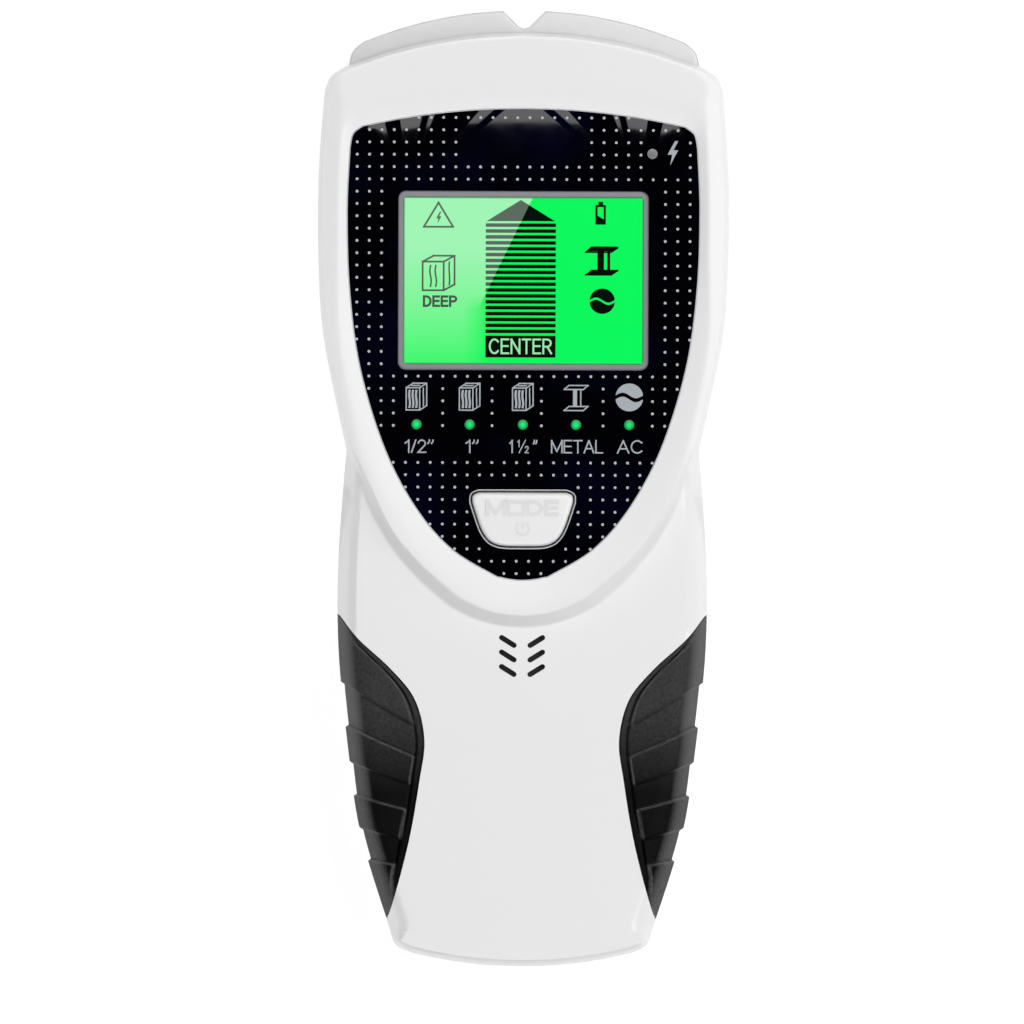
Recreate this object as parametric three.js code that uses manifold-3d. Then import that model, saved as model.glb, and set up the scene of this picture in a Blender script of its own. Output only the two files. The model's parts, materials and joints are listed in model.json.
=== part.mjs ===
// Hand-held wall scanner (stud finder) with a display, one mode button and a 9 V battery.
// Units are millimetres. The scanner lies on the flat back that slides over the wall:
// +Z points out of the display face, +Y towards the notched marking end and +X to the right
// of somebody reading the display. The origin is the middle of the back.

import * as THREE from 'three';
import { mergeVertices } from 'three/addons/utils/BufferGeometryUtils.js';
import Module from 'manifold-3d';

const wasm = await Module();
wasm.setup();

// ---------------------------------------------------------------- driving dimensions

const WALL = 2;                 // thickness of the moulded shells
const GAP = 0.3;                // clearance between neighbouring pieces
const STEP = 6;                 // spacing of points along the long outlines

const HEAD_TOP = 28;            // face of the raised head rim
const HANDLE_TOP = 25.4;        // face of the handle, lower than the rim
const PARTING = 12;             // height of the joint between rear and front shell
const HEAD_EDGE = { inset: 2, rise: 5, steps: 2 };      // rounding of the head's edges
const HANDLE_EDGE = { inset: 3, rise: 10, steps: 3 };   // fuller rounding of the handle

const GRIP = 1.8;               // thickness of the rubber grips
const GRIP_BOTTOM = 4;          // the grips stop this far above the back

const FASCIA_FLOOR = 25.4;      // ledge that the fascia is glued on
const FASCIA_BOTTOM = FASCIA_FLOOR + GAP;
const FASCIA_TOP = 27.2;
const TUB_BOTTOM = 24;          // underside of the recess that carries the fascia

const NOTCH = { halfWidth: 4.05, depth: 3.4 };
const LIP_TOP = 90.1;           // crown of the marking lip before the notch is cut

const DISPLAY_Y = 39.1;         // centre of the display
const WINDOW = { width: 45.3, height: 31.6 };
const COLLAR = { width: 47.2, height: 33.8 };
const FRAME = { width: 52, height: 38 };
const GLASS = { width: 50, height: 36, bottom: 20.3, top: 22.8 };

const BOARD = { bottom: 14.6, top: 16.2 };
const SENSOR_BOARD = { bottom: 3.2, top: 4.4 };

const LED_Y = 12;
const LED_PITCH = 10;
const WARNING_LED = [24.2, 63];

const BUTTON = { top: 27.9, bottom: 21.5, flangeTop: 23.7, flangeBottom: 22.6 };
const BUTTON_Y = -5.8;          // middle of the mode button
const SWITCH_TOP = 20;

const BUZZER = { y: -30.2, radius: 6.5, bottom: 19.9, top: 23.1 };

const BATTERY = { halfWidth: 13.25, bottom: 3.4, top: 20.9, low: -85.2, high: -38.8 };
const BATTERY_MID = (BATTERY.bottom + BATTERY.top) / 2;
const TERMINAL_X = 6.35;
const STUD = { plus: 2.9, minus: 4.2, height: 2.1 };
const SNAP = { halfWidth: 12.5, halfHeight: 6.5, low: -38.4, high: -34 };

const DOOR = { halfWidth: 19.5, flangeHalfWidth: 21, high: -34, thickness: 2 };
const BAY = { inner: 13.7, outer: 15.2, ceiling: 21.2, roof: 22.6, high: -33 };
const RAIL = { floor: 3.4, top: 5.2, outer: 22.8 };

const CASE_BOSS = { front: 3.4, rear: 4.6, recess: 3.4, seat: 5, hole: 1.7, holeTop: 18 };
const BOARD_BOSS = { radius: 2.4, hole: 1.3, holeTop: 21.5 };
const CASE_SCREWS = [[-31, 73], [31, 73], [-25.5, -18], [25.5, -18]];
const BOARD_SCREWS = [[-29.2, 59], [29.2, 59], [-20, 3], [20, 3]];
const SENSOR_POST = { radius: 1.4, top: 5.6 };
const SENSOR_POSTS = [[-27.5, 17.5], [27.5, 17.5], [-27.5, 62.5], [27.5, 62.5]];

const COIL = { y: 42, inner: 17, outer: 22, bottom: SENSOR_BOARD.top + GAP, top: 9.5, flange: 0.8, web: 1 };

// ---------------------------------------------------------------- solids and outlines

function toSolid(geometry) {
  const bare = geometry.clone();
  bare.deleteAttribute('normal');
  bare.deleteAttribute('uv');
  const merged = mergeVertices(bare, 1e-4);
  const mesh = new wasm.Mesh({
    numProp: 3,
    vertProperties: new Float32Array(merged.attributes.position.array),
    triVerts: new Uint32Array(merged.index.array),
  });
  return new wasm.Manifold(mesh);
}

function toGeometry(solid) {
  const mesh = solid.getMesh();
  const geometry = new THREE.BufferGeometry();
  geometry.setAttribute('position', new THREE.BufferAttribute(mesh.vertProperties, 3));
  geometry.setIndex(new THREE.BufferAttribute(mesh.triVerts, 1));
  geometry.computeVertexNormals();
  return geometry;
}

const join = (...solids) => solids.reduce((whole, next) => whole.add(next));
const cut = (solid, ...tools) => tools.reduce((rest, tool) => rest.subtract(tool), solid);
const points2 = (pairs) => pairs.map(([x, y]) => new THREE.Vector2(x, y));

// An upright plate with the given outline between two heights. An edge, if there is one,
// rounds both rims: it pulls the outline in by edge.inset over a height of edge.rise.
function plate(outline, bottom, top, edge) {
  const options = { depth: top - bottom, bevelEnabled: false };
  let lift = bottom;
  if (edge) {
    options.depth = top - bottom - 2 * edge.rise;
    options.bevelEnabled = true;
    options.bevelThickness = edge.rise;
    options.bevelSize = edge.inset;
    options.bevelOffset = -edge.inset;
    options.bevelSegments = edge.steps;
    lift = bottom + edge.rise;
  }
  const geometry = new THREE.ExtrudeGeometry(new THREE.Shape(outline), options);
  return toSolid(geometry.translate(0, 0, lift));
}

function box(lowX, highX, lowY, highY, lowZ, highZ) {
  const geometry = new THREE.BoxGeometry(highX - lowX, highY - lowY, highZ - lowZ);
  const middle = [(lowX + highX) / 2, (lowY + highY) / 2, (lowZ + highZ) / 2];
  return toSolid(geometry.translate(...middle));
}

// A box that is symmetric about X = 0.
const centredBox = (halfX, lowY, highY, lowZ, highZ) => box(-halfX, halfX, lowY, highY, lowZ, highZ);

function post(x, y, radius, bottom, top, sides = 16) {
  const geometry = new THREE.CylinderGeometry(radius, radius, top - bottom, sides);
  geometry.rotateX(Math.PI / 2);
  return toSolid(geometry.translate(x, y, (bottom + top) / 2));
}

// A round body from the radius and height pairs of its profile, standing at x, y.
function turned(profile, x, y, sides = 16) {
  const geometry = new THREE.LatheGeometry(points2(profile), sides);
  geometry.rotateX(Math.PI / 2);
  return toSolid(geometry.translate(x, y, 0));
}

function roundedRectangle(width, height, radius, centreX = 0, centreY = 0, steps = 4) {
  const corners = [[1, 1, 0], [-1, 1, 90], [-1, -1, 180], [1, -1, 270]];
  const outline = [];
  for (const [signX, signY, startDegrees] of corners) {
    for (let i = 0; i <= steps; i += 1) {
      const angle = THREE.MathUtils.degToRad(startDegrees + (90 * i) / steps);
      const x = centreX + signX * (width / 2 - radius) + radius * Math.cos(angle);
      const y = centreY + signY * (height / 2 - radius) + radius * Math.sin(angle);
      outline.push(new THREE.Vector2(x, y));
    }
  }
  return outline;
}

// A smooth curve through the points of a run, cut into steps of about the given length.
function smooth(run, step = STEP) {
  const curve = new THREE.SplineCurve(points2(run));
  return curve.getSpacedPoints(Math.max(1, Math.round(curve.getLength() / step)));
}

// Points of the arc centred on X = 0 that goes from its crown on the axis to its end.
function arch(crown, [endX, endY]) {
  const rise = crown - endY;
  const radius = (endX * endX + rise * rise) / (2 * rise);
  const sweep = Math.asin(endX / Math.abs(radius));
  return [0, 1, 2, 3, 4].map((i) => {
    const angle = (sweep * i) / 4;
    return [Math.abs(radius) * Math.sin(angle), crown - radius * (1 - Math.cos(angle))];
  });
}

// A closed outline, symmetric about X = 0. Each run is a smooth stretch of its right half,
// from top to bottom, and two runs meet at a corner.
function symmetric(runs, step = STEP) {
  const right = [];
  for (const run of runs) {
    const stretch = smooth(run, step);
    right.push(...(right.length ? stretch.slice(1) : stretch));
  }
  const offAxis = right.filter((point) => point.x > 0.01);
  const left = offAxis.map((point) => new THREE.Vector2(-point.x, point.y));
  return [...right, ...left.reverse()];
}

// The distance from a point to the nearest stretch of an outline.
function clearance(outline, point) {
  const distances = outline.map((start, i) => {
    const stretch = outline[(i + 1) % outline.length].clone().sub(start);
    const share = point.clone().sub(start).dot(stretch) / stretch.lengthSq();
    return start.clone().addScaledVector(stretch, THREE.MathUtils.clamp(share, 0, 1)).distanceTo(point);
  });
  return Math.min(...distances);
}

// The outline moved inwards by a distance, or outwards if the distance is negative. Points
// that would fold over each other in a tight corner are left out.
function inset(outline, distance) {
  const turn = THREE.ShapeUtils.isClockWise(outline) ? -1 : 1;
  const count = outline.length;
  const moved = outline.map((point, i) => {
    const before = point.clone().sub(outline[(i + count - 1) % count]).normalize();
    const after = outline[(i + 1) % count].clone().sub(point).normalize();
    const along = before.clone().add(after).normalize();
    const reach = distance / Math.max(0.5, along.dot(before));
    return new THREE.Vector2(point.x - turn * along.y * reach, point.y + turn * along.x * reach);
  });
  const slack = 0.02;
  return moved.filter((point) => clearance(outline, point) > Math.abs(distance) - slack);
}

// ---------------------------------------------------------------- outlines of the casing

const HEAD_OUTLINE = symmetric([
  arch(86, [33, 79.7]),
  [[33, 79.7], [36.2, 77.7], [37.5, 75]],
  [[37.5, 75], [38.4, 63.7], [38.75, 52], [38.4, 37.3], [37.2, 26], [33.2, 7.2]],
  [[33.2, 7.2], [26.6, -7.1], [20.7, -15.3], ...arch(-26, [14.5, -21.2]).reverse()],
]);

const HANDLE_OUTLINE = symmetric([
  [[0, 30], [33, 30]],
  [[33, 30], [33.2, 7.2]],
  [[33.2, 7.2], [34.6, -12], [34.6, -30], [32.7, -49.2], [30.3, -65], [24.8, -82.8]],
  [[24.8, -82.8], [23.6, -86], [20.5, -87.5]],
  arch(-90, [20.5, -87.5]).reverse(),
]);

const LIP_OUTLINE = symmetric([
  arch(LIP_TOP, [30.2, 84.1]),
  [[30.2, 84.1], [32.3, 82.2], [33, 79.6]],
  [[33, 79.6], [33, 66]],
  [[33, 66], [0, 66]],
], 3);

const FASCIA_OUTLINE = symmetric([
  arch(71.6, [30.3, 68.2]),
  [[30.3, 68.2], [32.2, 66.7], [32.8, 64]],
  [
    [32.8, 64], [33.3, 52.4], [32.8, 37.3], [30.7, 22.3], [26, 7.2], [20, -4],
    [13.3, -11.6], ...arch(-17.4, [5.4, -16.4]).reverse(),
  ],
], 4);

// The button's face is a trapezium with round corners, wide at the top.
function buttonOutline(margin) {
  const outline = symmetric([
    [[0, BUTTON_Y + 5.1], [8.2, BUTTON_Y + 5.1]],
    [[8.2, BUTTON_Y + 5.1], [9.4, BUTTON_Y + 4.5], [9.5, BUTTON_Y + 3.1]],
    [[9.5, BUTTON_Y + 3.1], [7.4, BUTTON_Y - 2.6], [4.8, BUTTON_Y - 4.8], [0, BUTTON_Y - 5.1]],
  ], 1.6);
  return inset(outline, -margin);
}

// The head or the handle with its whole surface moved inwards, which tightens its edges.
function shrunk(outline, top, edge, shrink) {
  const tighter = {
    inset: Math.max(edge.inset - shrink, 0.4),
    rise: edge.rise - shrink,
    steps: edge.steps,
  };
  return plate(inset(outline, shrink), shrink, top - shrink, tighter);
}

const headSolid = (shrink) => shrunk(HEAD_OUTLINE, HEAD_TOP, HEAD_EDGE, shrink);
const handleSolid = (shrink) => shrunk(HANDLE_OUTLINE, HANDLE_TOP, HANDLE_EDGE, shrink);

// The side of the handle that a grip covers, as an upright block wider than the handle.
// Side is 1 for the right grip and -1 for the left one.
function gripBlock(side, margin, bottom) {
  const edge = smooth([
    [37.5, -21.1], [30.8, -28.4], [24.6, -34.1], [20.1, -39.8], [18.3, -47.3],
    [19.2, -55], [21.1, -66.1], [24, -77.4], [26.2, -83.4],
  ]);
  const shifted = edge.map((point, i) => {
    const along = edge[Math.min(i + 1, edge.length - 1)].clone().sub(edge[Math.max(i - 1, 0)]).normalize();
    return new THREE.Vector2(side * (point.x + along.y * margin), point.y - along.x * margin);
  });
  const outside = side * 50;
  const lowest = new THREE.Vector2(outside, shifted[shifted.length - 1].y);
  const highest = new THREE.Vector2(outside, shifted[0].y);
  return plate([...shifted, lowest, highest], bottom, HEAD_TOP + 5);
}

const SIDES = [-1, 1];
const casing = join(headSolid(0), handleSolid(0));
const gripPocket = join(...SIDES.map((side) => gripBlock(side, GAP, GRIP_BOTTOM - GAP)));
const gripBacking = join(...SIDES.map((side) => gripBlock(side, WALL, -1)));
const pocketCut = cut(gripPocket, handleSolid(GRIP + GAP));
const cavity = join(
  headSolid(WALL),
  handleSolid(GRIP + WALL + GAP),
  cut(handleSolid(WALL), gripBacking),
);
const FAR = 120;
const abovePlane = (height) => centredBox(FAR, -FAR, FAR, height, FAR);
const belowPlane = (height) => centredBox(FAR, -FAR, FAR, -FAR, height);

// ---------------------------------------------------------------- casing

// One slanted slot of the sounder grille, through the handle's face.
function soundSlot(side, row) {
  const halfWidth = 0.5;
  const pitch = 2.73;
  const start = new THREE.Vector2(side * 3.84, -28.05 - row * pitch);
  const end = new THREE.Vector2(side * 1.52, -29.5 - row * pitch);
  const heading = end.clone().sub(start).angle();
  const outline = [];
  for (const [centre, turn] of [[end, heading - Math.PI / 2], [start, heading + Math.PI / 2]]) {
    for (let i = 0; i <= 4; i += 1) {
      const angle = turn + (i * Math.PI) / 4;
      const x = centre.x + halfWidth * Math.cos(angle);
      const y = centre.y + halfWidth * Math.sin(angle);
      outline.push(new THREE.Vector2(x, y));
    }
  }
  return plate(outline, HANDLE_TOP - WALL - 1, HANDLE_TOP + 1);
}

function frontShell() {
  const upper = cut(casing.intersect(abovePlane(PARTING + GAP / 2)), cavity);
  const tub = plate(inset(FASCIA_OUTLINE, -WALL), TUB_BOTTOM, HEAD_TOP - 1);
  const seam = PARTING + GAP / 2;
  const caseBosses = CASE_SCREWS.map(([x, y]) => post(x, y, CASE_BOSS.front, seam, HANDLE_TOP - 1));
  const standoff = BOARD.top + GAP;
  const inTub = TUB_BOTTOM + 0.5;
  const boardBosses = BOARD_SCREWS.map(([x, y]) => post(x, y, BOARD_BOSS.radius, standoff, inTub, 12));
  const sounderRing = cut(
    post(0, BUZZER.y, BUZZER.radius + 1.5, BUZZER.bottom, HANDLE_TOP - 1, 24),
    post(0, BUZZER.y, BUZZER.radius + GAP, 0, HANDLE_TOP - WALL, 24),
  );
  const body = join(upper, tub, ...caseBosses, ...boardBosses, sounderRing);
  const ledHoles = ledPlaces().map(([x, y]) => post(x, y, 2.2, TUB_BOTTOM - 1, FASCIA_TOP, 16));
  const displayHole = plate(
    roundedRectangle(COLLAR.width + 2 * GAP, COLLAR.height + 2 * GAP, 1.6, 0, DISPLAY_Y),
    TUB_BOTTOM - 1,
    FASCIA_TOP,
  );
  return cut(
    body,
    pocketCut,
    plate(inset(FASCIA_OUTLINE, -GAP), FASCIA_FLOOR, HEAD_TOP + 1),
    displayHole,
    plate(buttonOutline(0.6), TUB_BOTTOM - 1, FASCIA_TOP),
    ...ledHoles,
    ...CASE_SCREWS.map(([x, y]) => post(x, y, CASE_BOSS.hole, 0, CASE_BOSS.holeTop, 12)),
    ...BOARD_SCREWS.map(([x, y]) => post(x, y, BOARD_BOSS.hole, 0, BOARD_BOSS.holeTop, 12)),
    ...SIDES.flatMap((side) => [0, 1, 2].map((row) => soundSlot(side, row))),
  );
}

// The marking notch: a V with a small flat at its root, through the whole lip.
function notch() {
  const rootY = LIP_TOP - 0.1 - NOTCH.depth;
  const outline = points2([
    [-NOTCH.halfWidth - 0.8, LIP_TOP + 0.6], [-1, rootY + 0.35], [-0.35, rootY],
    [0.35, rootY], [1, rootY + 0.35], [NOTCH.halfWidth + 0.8, LIP_TOP + 0.6],
  ]);
  return plate(outline, -1, PARTING + 1);
}

function rearShell() {
  const low = belowPlane(PARTING - GAP / 2);
  const lip = plate(LIP_OUTLINE, 0, PARTING + 2 * HEAD_EDGE.rise, HEAD_EDGE);
  const lower = cut(join(casing, lip).intersect(low), cavity);
  const bosses = CASE_SCREWS.map(([x, y]) => post(x, y, CASE_BOSS.rear, 1, PARTING - GAP / 2));
  const boardPosts = SENSOR_POSTS.map(([x, y]) => post(x, y, SENSOR_POST.radius, 1, SENSOR_POST.top, 12));
  const rails = centredBox(RAIL.outer, -82, BAY.high + 1.5, 1, RAIL.top);
  const bay = centredBox(BAY.outer, -84, BAY.high + 1.5, 3, BAY.roof);
  const body = join(lower, ...bosses, ...boardPosts, rails, bay);
  return cut(
    body,
    notch(),
    ...CASE_SCREWS.map(([x, y]) => post(x, y, CASE_BOSS.recess, -1, CASE_BOSS.seat)),
    ...CASE_SCREWS.map(([x, y]) => post(x, y, CASE_BOSS.hole, 0, PARTING + 1, 12)),
    // The battery's bay, open towards the back, and open above the snap connector.
    centredBox(BAY.inner, -95, BAY.high, -1, BAY.ceiling),
    centredBox(BAY.outer + 1, -41, BAY.high + 3, 18, BAY.roof + 1),
    // The way out for the leads.
    centredBox(7, BAY.high - 1, BAY.high + 3, 7, 19),
    // The door's opening, the channel of its flanges and the slot of its front tongue.
    centredBox(DOOR.halfWidth + GAP, -95, DOOR.high + GAP, -1, DOOR.thickness + 0.1),
    centredBox(DOOR.halfWidth + GAP, -95, -84, -1, PARTING + 1),
    centredBox(DOOR.flangeHalfWidth + GAP, -95, DOOR.high - 1.5, DOOR.thickness, RAIL.floor),
    centredBox(6.5, DOOR.high - 3, DOOR.high + 4, DOOR.thickness, RAIL.floor),
    pocketCut,
  );
}

function grip(side) {
  const layer = cut(handleSolid(0), handleSolid(GRIP));
  return layer.intersect(gripBlock(side, 0, GRIP_BOTTOM));
}

// The door closes the bay and the middle of the tail, and slides out over the tail. It hangs
// on two flanges, and its tongue passes under the battery with the usual clearance.
function batteryDoor() {
  const outer = handleSolid(0).intersect(centredBox(DOOR.halfWidth, -95, DOOR.high, -1, PARTING - 0.5));
  const hollow = join(
    plate(inset(HANDLE_OUTLINE, WALL), DOOR.thickness, PARTING + 1),
    centredBox(FAR, -84.5, FAR, DOOR.thickness, PARTING + 1),
  );
  const flangeBottom = DOOR.thickness + GAP;
  const flangeTop = RAIL.floor - GAP;
  const webs = SIDES.map((side) => {
    const inner = side * (DOOR.halfWidth - 1.3);
    const outerX = side * DOOR.halfWidth;
    return box(Math.min(inner, outerX), Math.max(inner, outerX), -82, -37, 1, flangeTop);
  });
  const flanges = SIDES.map((side) => {
    const inner = side * (DOOR.halfWidth - 1.3);
    const outerX = side * DOOR.flangeHalfWidth;
    return box(Math.min(inner, outerX), Math.max(inner, outerX), -82, -37, flangeBottom, flangeTop);
  });
  const tongueWeb = centredBox(6, DOOR.high - 1.5, DOOR.high, 1, flangeTop);
  const tongue = centredBox(6, DOOR.high - 1.5, DOOR.high + 2.5, flangeBottom, flangeTop);
  const thumbGrooves = [0, 1, 2].map((i) => centredBox(6 - i, -42.5 - 2 * i, -41.5 - 2 * i, -1, 0.6));
  return cut(join(cut(outer, hollow), ...webs, ...flanges, tongueWeb, tongue), ...thumbGrooves);
}

const doorFoam = () => centredBox(9, -76, -50, DOOR.thickness + GAP, BATTERY.bottom - GAP);

// ---------------------------------------------------------------- fascia, display and button

const fascia = () => cut(
  plate(FASCIA_OUTLINE, FASCIA_BOTTOM, FASCIA_TOP),
  plate(buttonOutline(0.45), 0, FASCIA_TOP + 1),
);

function displayFrame() {
  const baseOutline = roundedRectangle(FRAME.width, FRAME.height, 1.5, 0, DISPLAY_Y);
  const base = plate(baseOutline, BOARD.top + GAP, TUB_BOTTOM - GAP);
  const collar = plate(roundedRectangle(COLLAR.width, COLLAR.height, 1.4, 0, DISPLAY_Y), 20, FASCIA_FLOOR);
  const pocket = plate(
    roundedRectangle(GLASS.width + 2 * GAP, GLASS.height + 2 * GAP, 0.5, 0, DISPLAY_Y, 1),
    0,
    GLASS.top + GAP,
  );
  const window = plate(roundedRectangle(WINDOW.width, WINDOW.height, 0.6, 0, DISPLAY_Y, 2), 0, HEAD_TOP);
  return cut(join(base, collar), pocket, window);
}

const displayGlass = () => centredBox(
  GLASS.width / 2, DISPLAY_Y - GLASS.height / 2, DISPLAY_Y + GLASS.height / 2, GLASS.bottom, GLASS.top,
);

const backlight = () => centredBox(
  GLASS.width / 2, DISPLAY_Y - GLASS.height / 2, DISPLAY_Y + GLASS.height / 2 - 3.2,
  BOARD.top + 2 * GAP, GLASS.bottom - GAP,
);

// The rubber strip that joins the glass's upper edge to the board.
const displayConnector = () => centredBox(
  GLASS.width / 2 - 1, DISPLAY_Y + GLASS.height / 2 - 2.5, DISPLAY_Y + GLASS.height / 2 - 0.3,
  BOARD.top + GAP, GLASS.bottom - GAP,
);

function modeButton() {
  const cap = plate(buttonOutline(0), BUTTON.flangeBottom, BUTTON.top);
  const flange = plate(buttonOutline(1.4), BUTTON.flangeBottom, BUTTON.flangeTop);
  const stem = post(0, BUTTON_Y, 1.8, BUTTON.bottom, BUTTON.flangeTop, 16);
  return join(cap, flange, stem);
}

const switchBody = () => cut(
  centredBox(3, BUTTON_Y - 3, BUTTON_Y + 3, BOARD.top + GAP, SWITCH_TOP),
  post(0, BUTTON_Y, 1.9, BOARD.top + 1.2, SWITCH_TOP + 1, 16),
);

const switchPlunger = () => post(0, BUTTON_Y, 1.6, SWITCH_TOP - 1.4, BUTTON.bottom - GAP, 16);

// ---------------------------------------------------------------- indicator lamps

function ledPlaces() {
  const row = [-2, -1, 0, 1, 2].map((i) => [i * LED_PITCH, LED_Y]);
  return [...row, WARNING_LED];
}

function led(x, y) {
  const lens = [
    [0, 19.8], [1.8, 19.8], [1.8, 20.8], [1.5, 20.8], [1.5, 23.8], [1.3, 24.5], [0.75, 25.05], [0, 25.2],
  ];
  const legs = SIDES.map((side) => {
    const centre = x + side * 1.27;
    return box(centre - 0.25, centre + 0.25, y - 0.25, y + 0.25, BOARD.top + GAP, 20.2);
  });
  return join(turned(lens, x, y, 12), ...legs);
}

// ---------------------------------------------------------------- boards and sensors

function mainBoard() {
  const outline = points2([
    [31, 65], [33.3, 61], [33.3, 26], [24.5, -2], [12, -15.5],
    [-12, -15.5], [-24.5, -2], [-33.3, 26], [-33.3, 61], [-31, 65],
  ]);
  const holes = BOARD_SCREWS.map(([x, y]) => post(x, y, BOARD_BOSS.hole, 0, FAR, 12));
  return cut(plate(outline, BOARD.bottom, BOARD.top), ...holes);
}

function sensorBoard() {
  const outline = points2([
    [24, 77], [24, 67], [31, 67], [31, 13.5], [-31, 13.5], [-31, 67], [-24, 67], [-24, 77],
  ]);
  const holes = SENSOR_POSTS.map(([x, y]) => post(x, y, SENSOR_POST.radius + GAP, 0, FAR, 12));
  return cut(plate(outline, SENSOR_BOARD.bottom, SENSOR_BOARD.top), ...holes);
}

function sensePlate(side) {
  const inner = side * 3;
  const outer = side * 24.5;
  return box(Math.min(inner, outer), Math.max(inner, outer), 18, 66, WALL + 0.35, SENSOR_BOARD.bottom - 0.35);
}

// The former is a ring with a channel round its outside, and the winding fills the channel.
function coilFormer() {
  const { inner, outer, bottom, top, flange, web } = COIL;
  const profile = [
    [inner, bottom], [outer, bottom], [outer, bottom + flange], [inner + web, bottom + flange],
    [inner + web, top - flange], [outer, top - flange], [outer, top], [inner, top], [inner, bottom],
  ];
  return turned(profile, 0, COIL.y, 28);
}

function coilWinding() {
  const low = COIL.bottom + COIL.flange + GAP;
  const high = COIL.top - COIL.flange - GAP;
  const inner = COIL.inner + COIL.web + GAP;
  const outer = COIL.outer - 0.6;
  return turned([[inner, low], [outer, low], [outer, high], [inner, high], [inner, low]], 0, COIL.y, 28);
}

const mainsAntenna = () => centredBox(22, 78.3, 78.8, 3, 9);
const boardLink = () => centredBox(7.6, 15.2, 17.8, SENSOR_BOARD.top + GAP, BOARD.bottom - GAP);

// A chip or can soldered to the underside of the main board.
function underBoard(x, y, width, length, height) {
  const top = BOARD.bottom - GAP;
  return box(x - width / 2, x + width / 2, y - length / 2, y + length / 2, top - height, top);
}

function canCapacitor(x, y, radius, height) {
  const top = BOARD.bottom - GAP;
  const low = top - height;
  const profile = [
    [0, low], [radius - 0.4, low], [radius, low + 0.4], [radius, top - 1.3],
    [radius - 0.3, top - 1], [radius, top - 0.7], [radius, top], [0, top],
  ];
  return turned(profile, x, y, 16);
}

function inductor(x, y) {
  const top = BOARD.bottom - GAP;
  const profile = [
    [0, top - 4.6], [3.2, top - 4.6], [3.2, top - 3.6], [2.5, top - 3.6],
    [2.5, top - 1], [3.2, top - 1], [3.2, top], [0, top],
  ];
  return turned(profile, x, y, 16);
}

function sounder() {
  const { radius, bottom, top } = BUZZER;
  const profile = [[0, bottom], [radius, bottom], [radius, top], [1.2, top], [1.2, top - 1], [0, top - 1]];
  return turned(profile, 0, BUZZER.y, 24);
}

// ---------------------------------------------------------------- battery and wiring

// A round stud or bore along Y, at the height of the battery's middle.
function alongY(radius, low, high, x) {
  const geometry = new THREE.CylinderGeometry(radius, radius, high - low, 16);
  return toSolid(geometry.translate(x, (low + high) / 2, BATTERY_MID));
}

function battery() {
  const outline = roundedRectangle(2 * BATTERY.halfWidth, BATTERY.top - BATTERY.bottom, 2.4, 0, 0, 3);
  const length = BATTERY.high - BATTERY.low;
  const can = new THREE.ExtrudeGeometry(new THREE.Shape(outline), { depth: length, bevelEnabled: false });
  can.rotateX(Math.PI / 2);
  can.translate(0, BATTERY.high, BATTERY_MID);
  const top = BATTERY.high + STUD.height;
  const plus = alongY(STUD.plus, BATTERY.high - 1, top, TERMINAL_X);
  const minus = alongY(STUD.minus, BATTERY.high - 1, top, -TERMINAL_X);
  return join(toSolid(can), plus, minus);
}

function snapConnector() {
  const low = BATTERY_MID - SNAP.halfHeight;
  const high = BATTERY_MID + SNAP.halfHeight;
  const boreEnd = BATTERY.high + STUD.height + GAP;
  return cut(
    centredBox(SNAP.halfWidth, SNAP.low, SNAP.high, low, high),
    alongY(STUD.plus + GAP, SNAP.low - 1, boreEnd, TERMINAL_X),
    alongY(STUD.minus + GAP, SNAP.low - 1, boreEnd, -TERMINAL_X),
  );
}

// An insulated wire through the given points.
function lead(route, radius) {
  const path = new THREE.CatmullRomCurve3(route.map((point) => new THREE.Vector3(...point)));
  const section = [];
  for (let i = 0; i < 8; i += 1) {
    const angle = (i * Math.PI) / 4;
    section.push(new THREE.Vector2(radius * Math.cos(angle), radius * Math.sin(angle)));
  }
  const steps = Math.round(path.getLength() / (radius * 4));
  const options = { steps, extrudePath: path, bevelEnabled: false };
  return toSolid(new THREE.ExtrudeGeometry(new THREE.Shape(section), options));
}

function batteryLead(side) {
  const x = side * 3.5;
  const route = [
    [x, SNAP.high + GAP, BATTERY_MID], [x, -30, BATTERY_MID - 0.4], [x, -22, 9.6],
    [x, -15.5, 9.4], [x, -12.9, 11.4], [x, -12.6, BOARD.bottom - GAP],
  ];
  return lead(route, 0.65);
}

function sounderLead(side) {
  const route = [
    [side * 2.2, -25.6, BUZZER.bottom - GAP], [side * 2.3, -25.3, 18.4], [side * 3.6, -22, 17.4],
    [side * 6, -16.8, 18.6], [side * 6.6, -14.6, 18.2], [side * 6.7, -14.2, BOARD.top + GAP],
  ];
  return lead(route, 0.4);
}

// ---------------------------------------------------------------- fasteners

// A screw that is driven upwards from the back, with a cross recess in its head.
function screw([x, y], headRadius, headBottom, headTop, shankRadius, tip) {
  const profile = [
    [0, headBottom], [headRadius - 0.4, headBottom], [headRadius, headBottom + 0.5], [headRadius, headTop],
    [shankRadius, headTop], [shankRadius, tip - 1], [shankRadius * 0.4, tip], [0, tip],
  ];
  const arm = headRadius * 0.55;
  const blade = headRadius * 0.13;
  return cut(
    turned(profile, x, y, 12),
    box(x - arm, x + arm, y - blade, y + blade, headBottom - 1, headBottom + 0.9),
    box(x - blade, x + blade, y - arm, y + arm, headBottom - 1, headBottom + 0.9),
  );
}

const caseScrew = (place) => screw(place, 2.8, 2.6, 5 - GAP, 1.35, 16.5);
const boardScrew = (place) => screw(place, 2.1, BOARD.bottom - GAP - 1.5, BOARD.bottom - GAP, 1, 20.8);

// ---------------------------------------------------------------- materials

function look(color, roughness, metalness = 0) {
  return () => new THREE.MeshStandardMaterial({ color, roughness, metalness });
}

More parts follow.
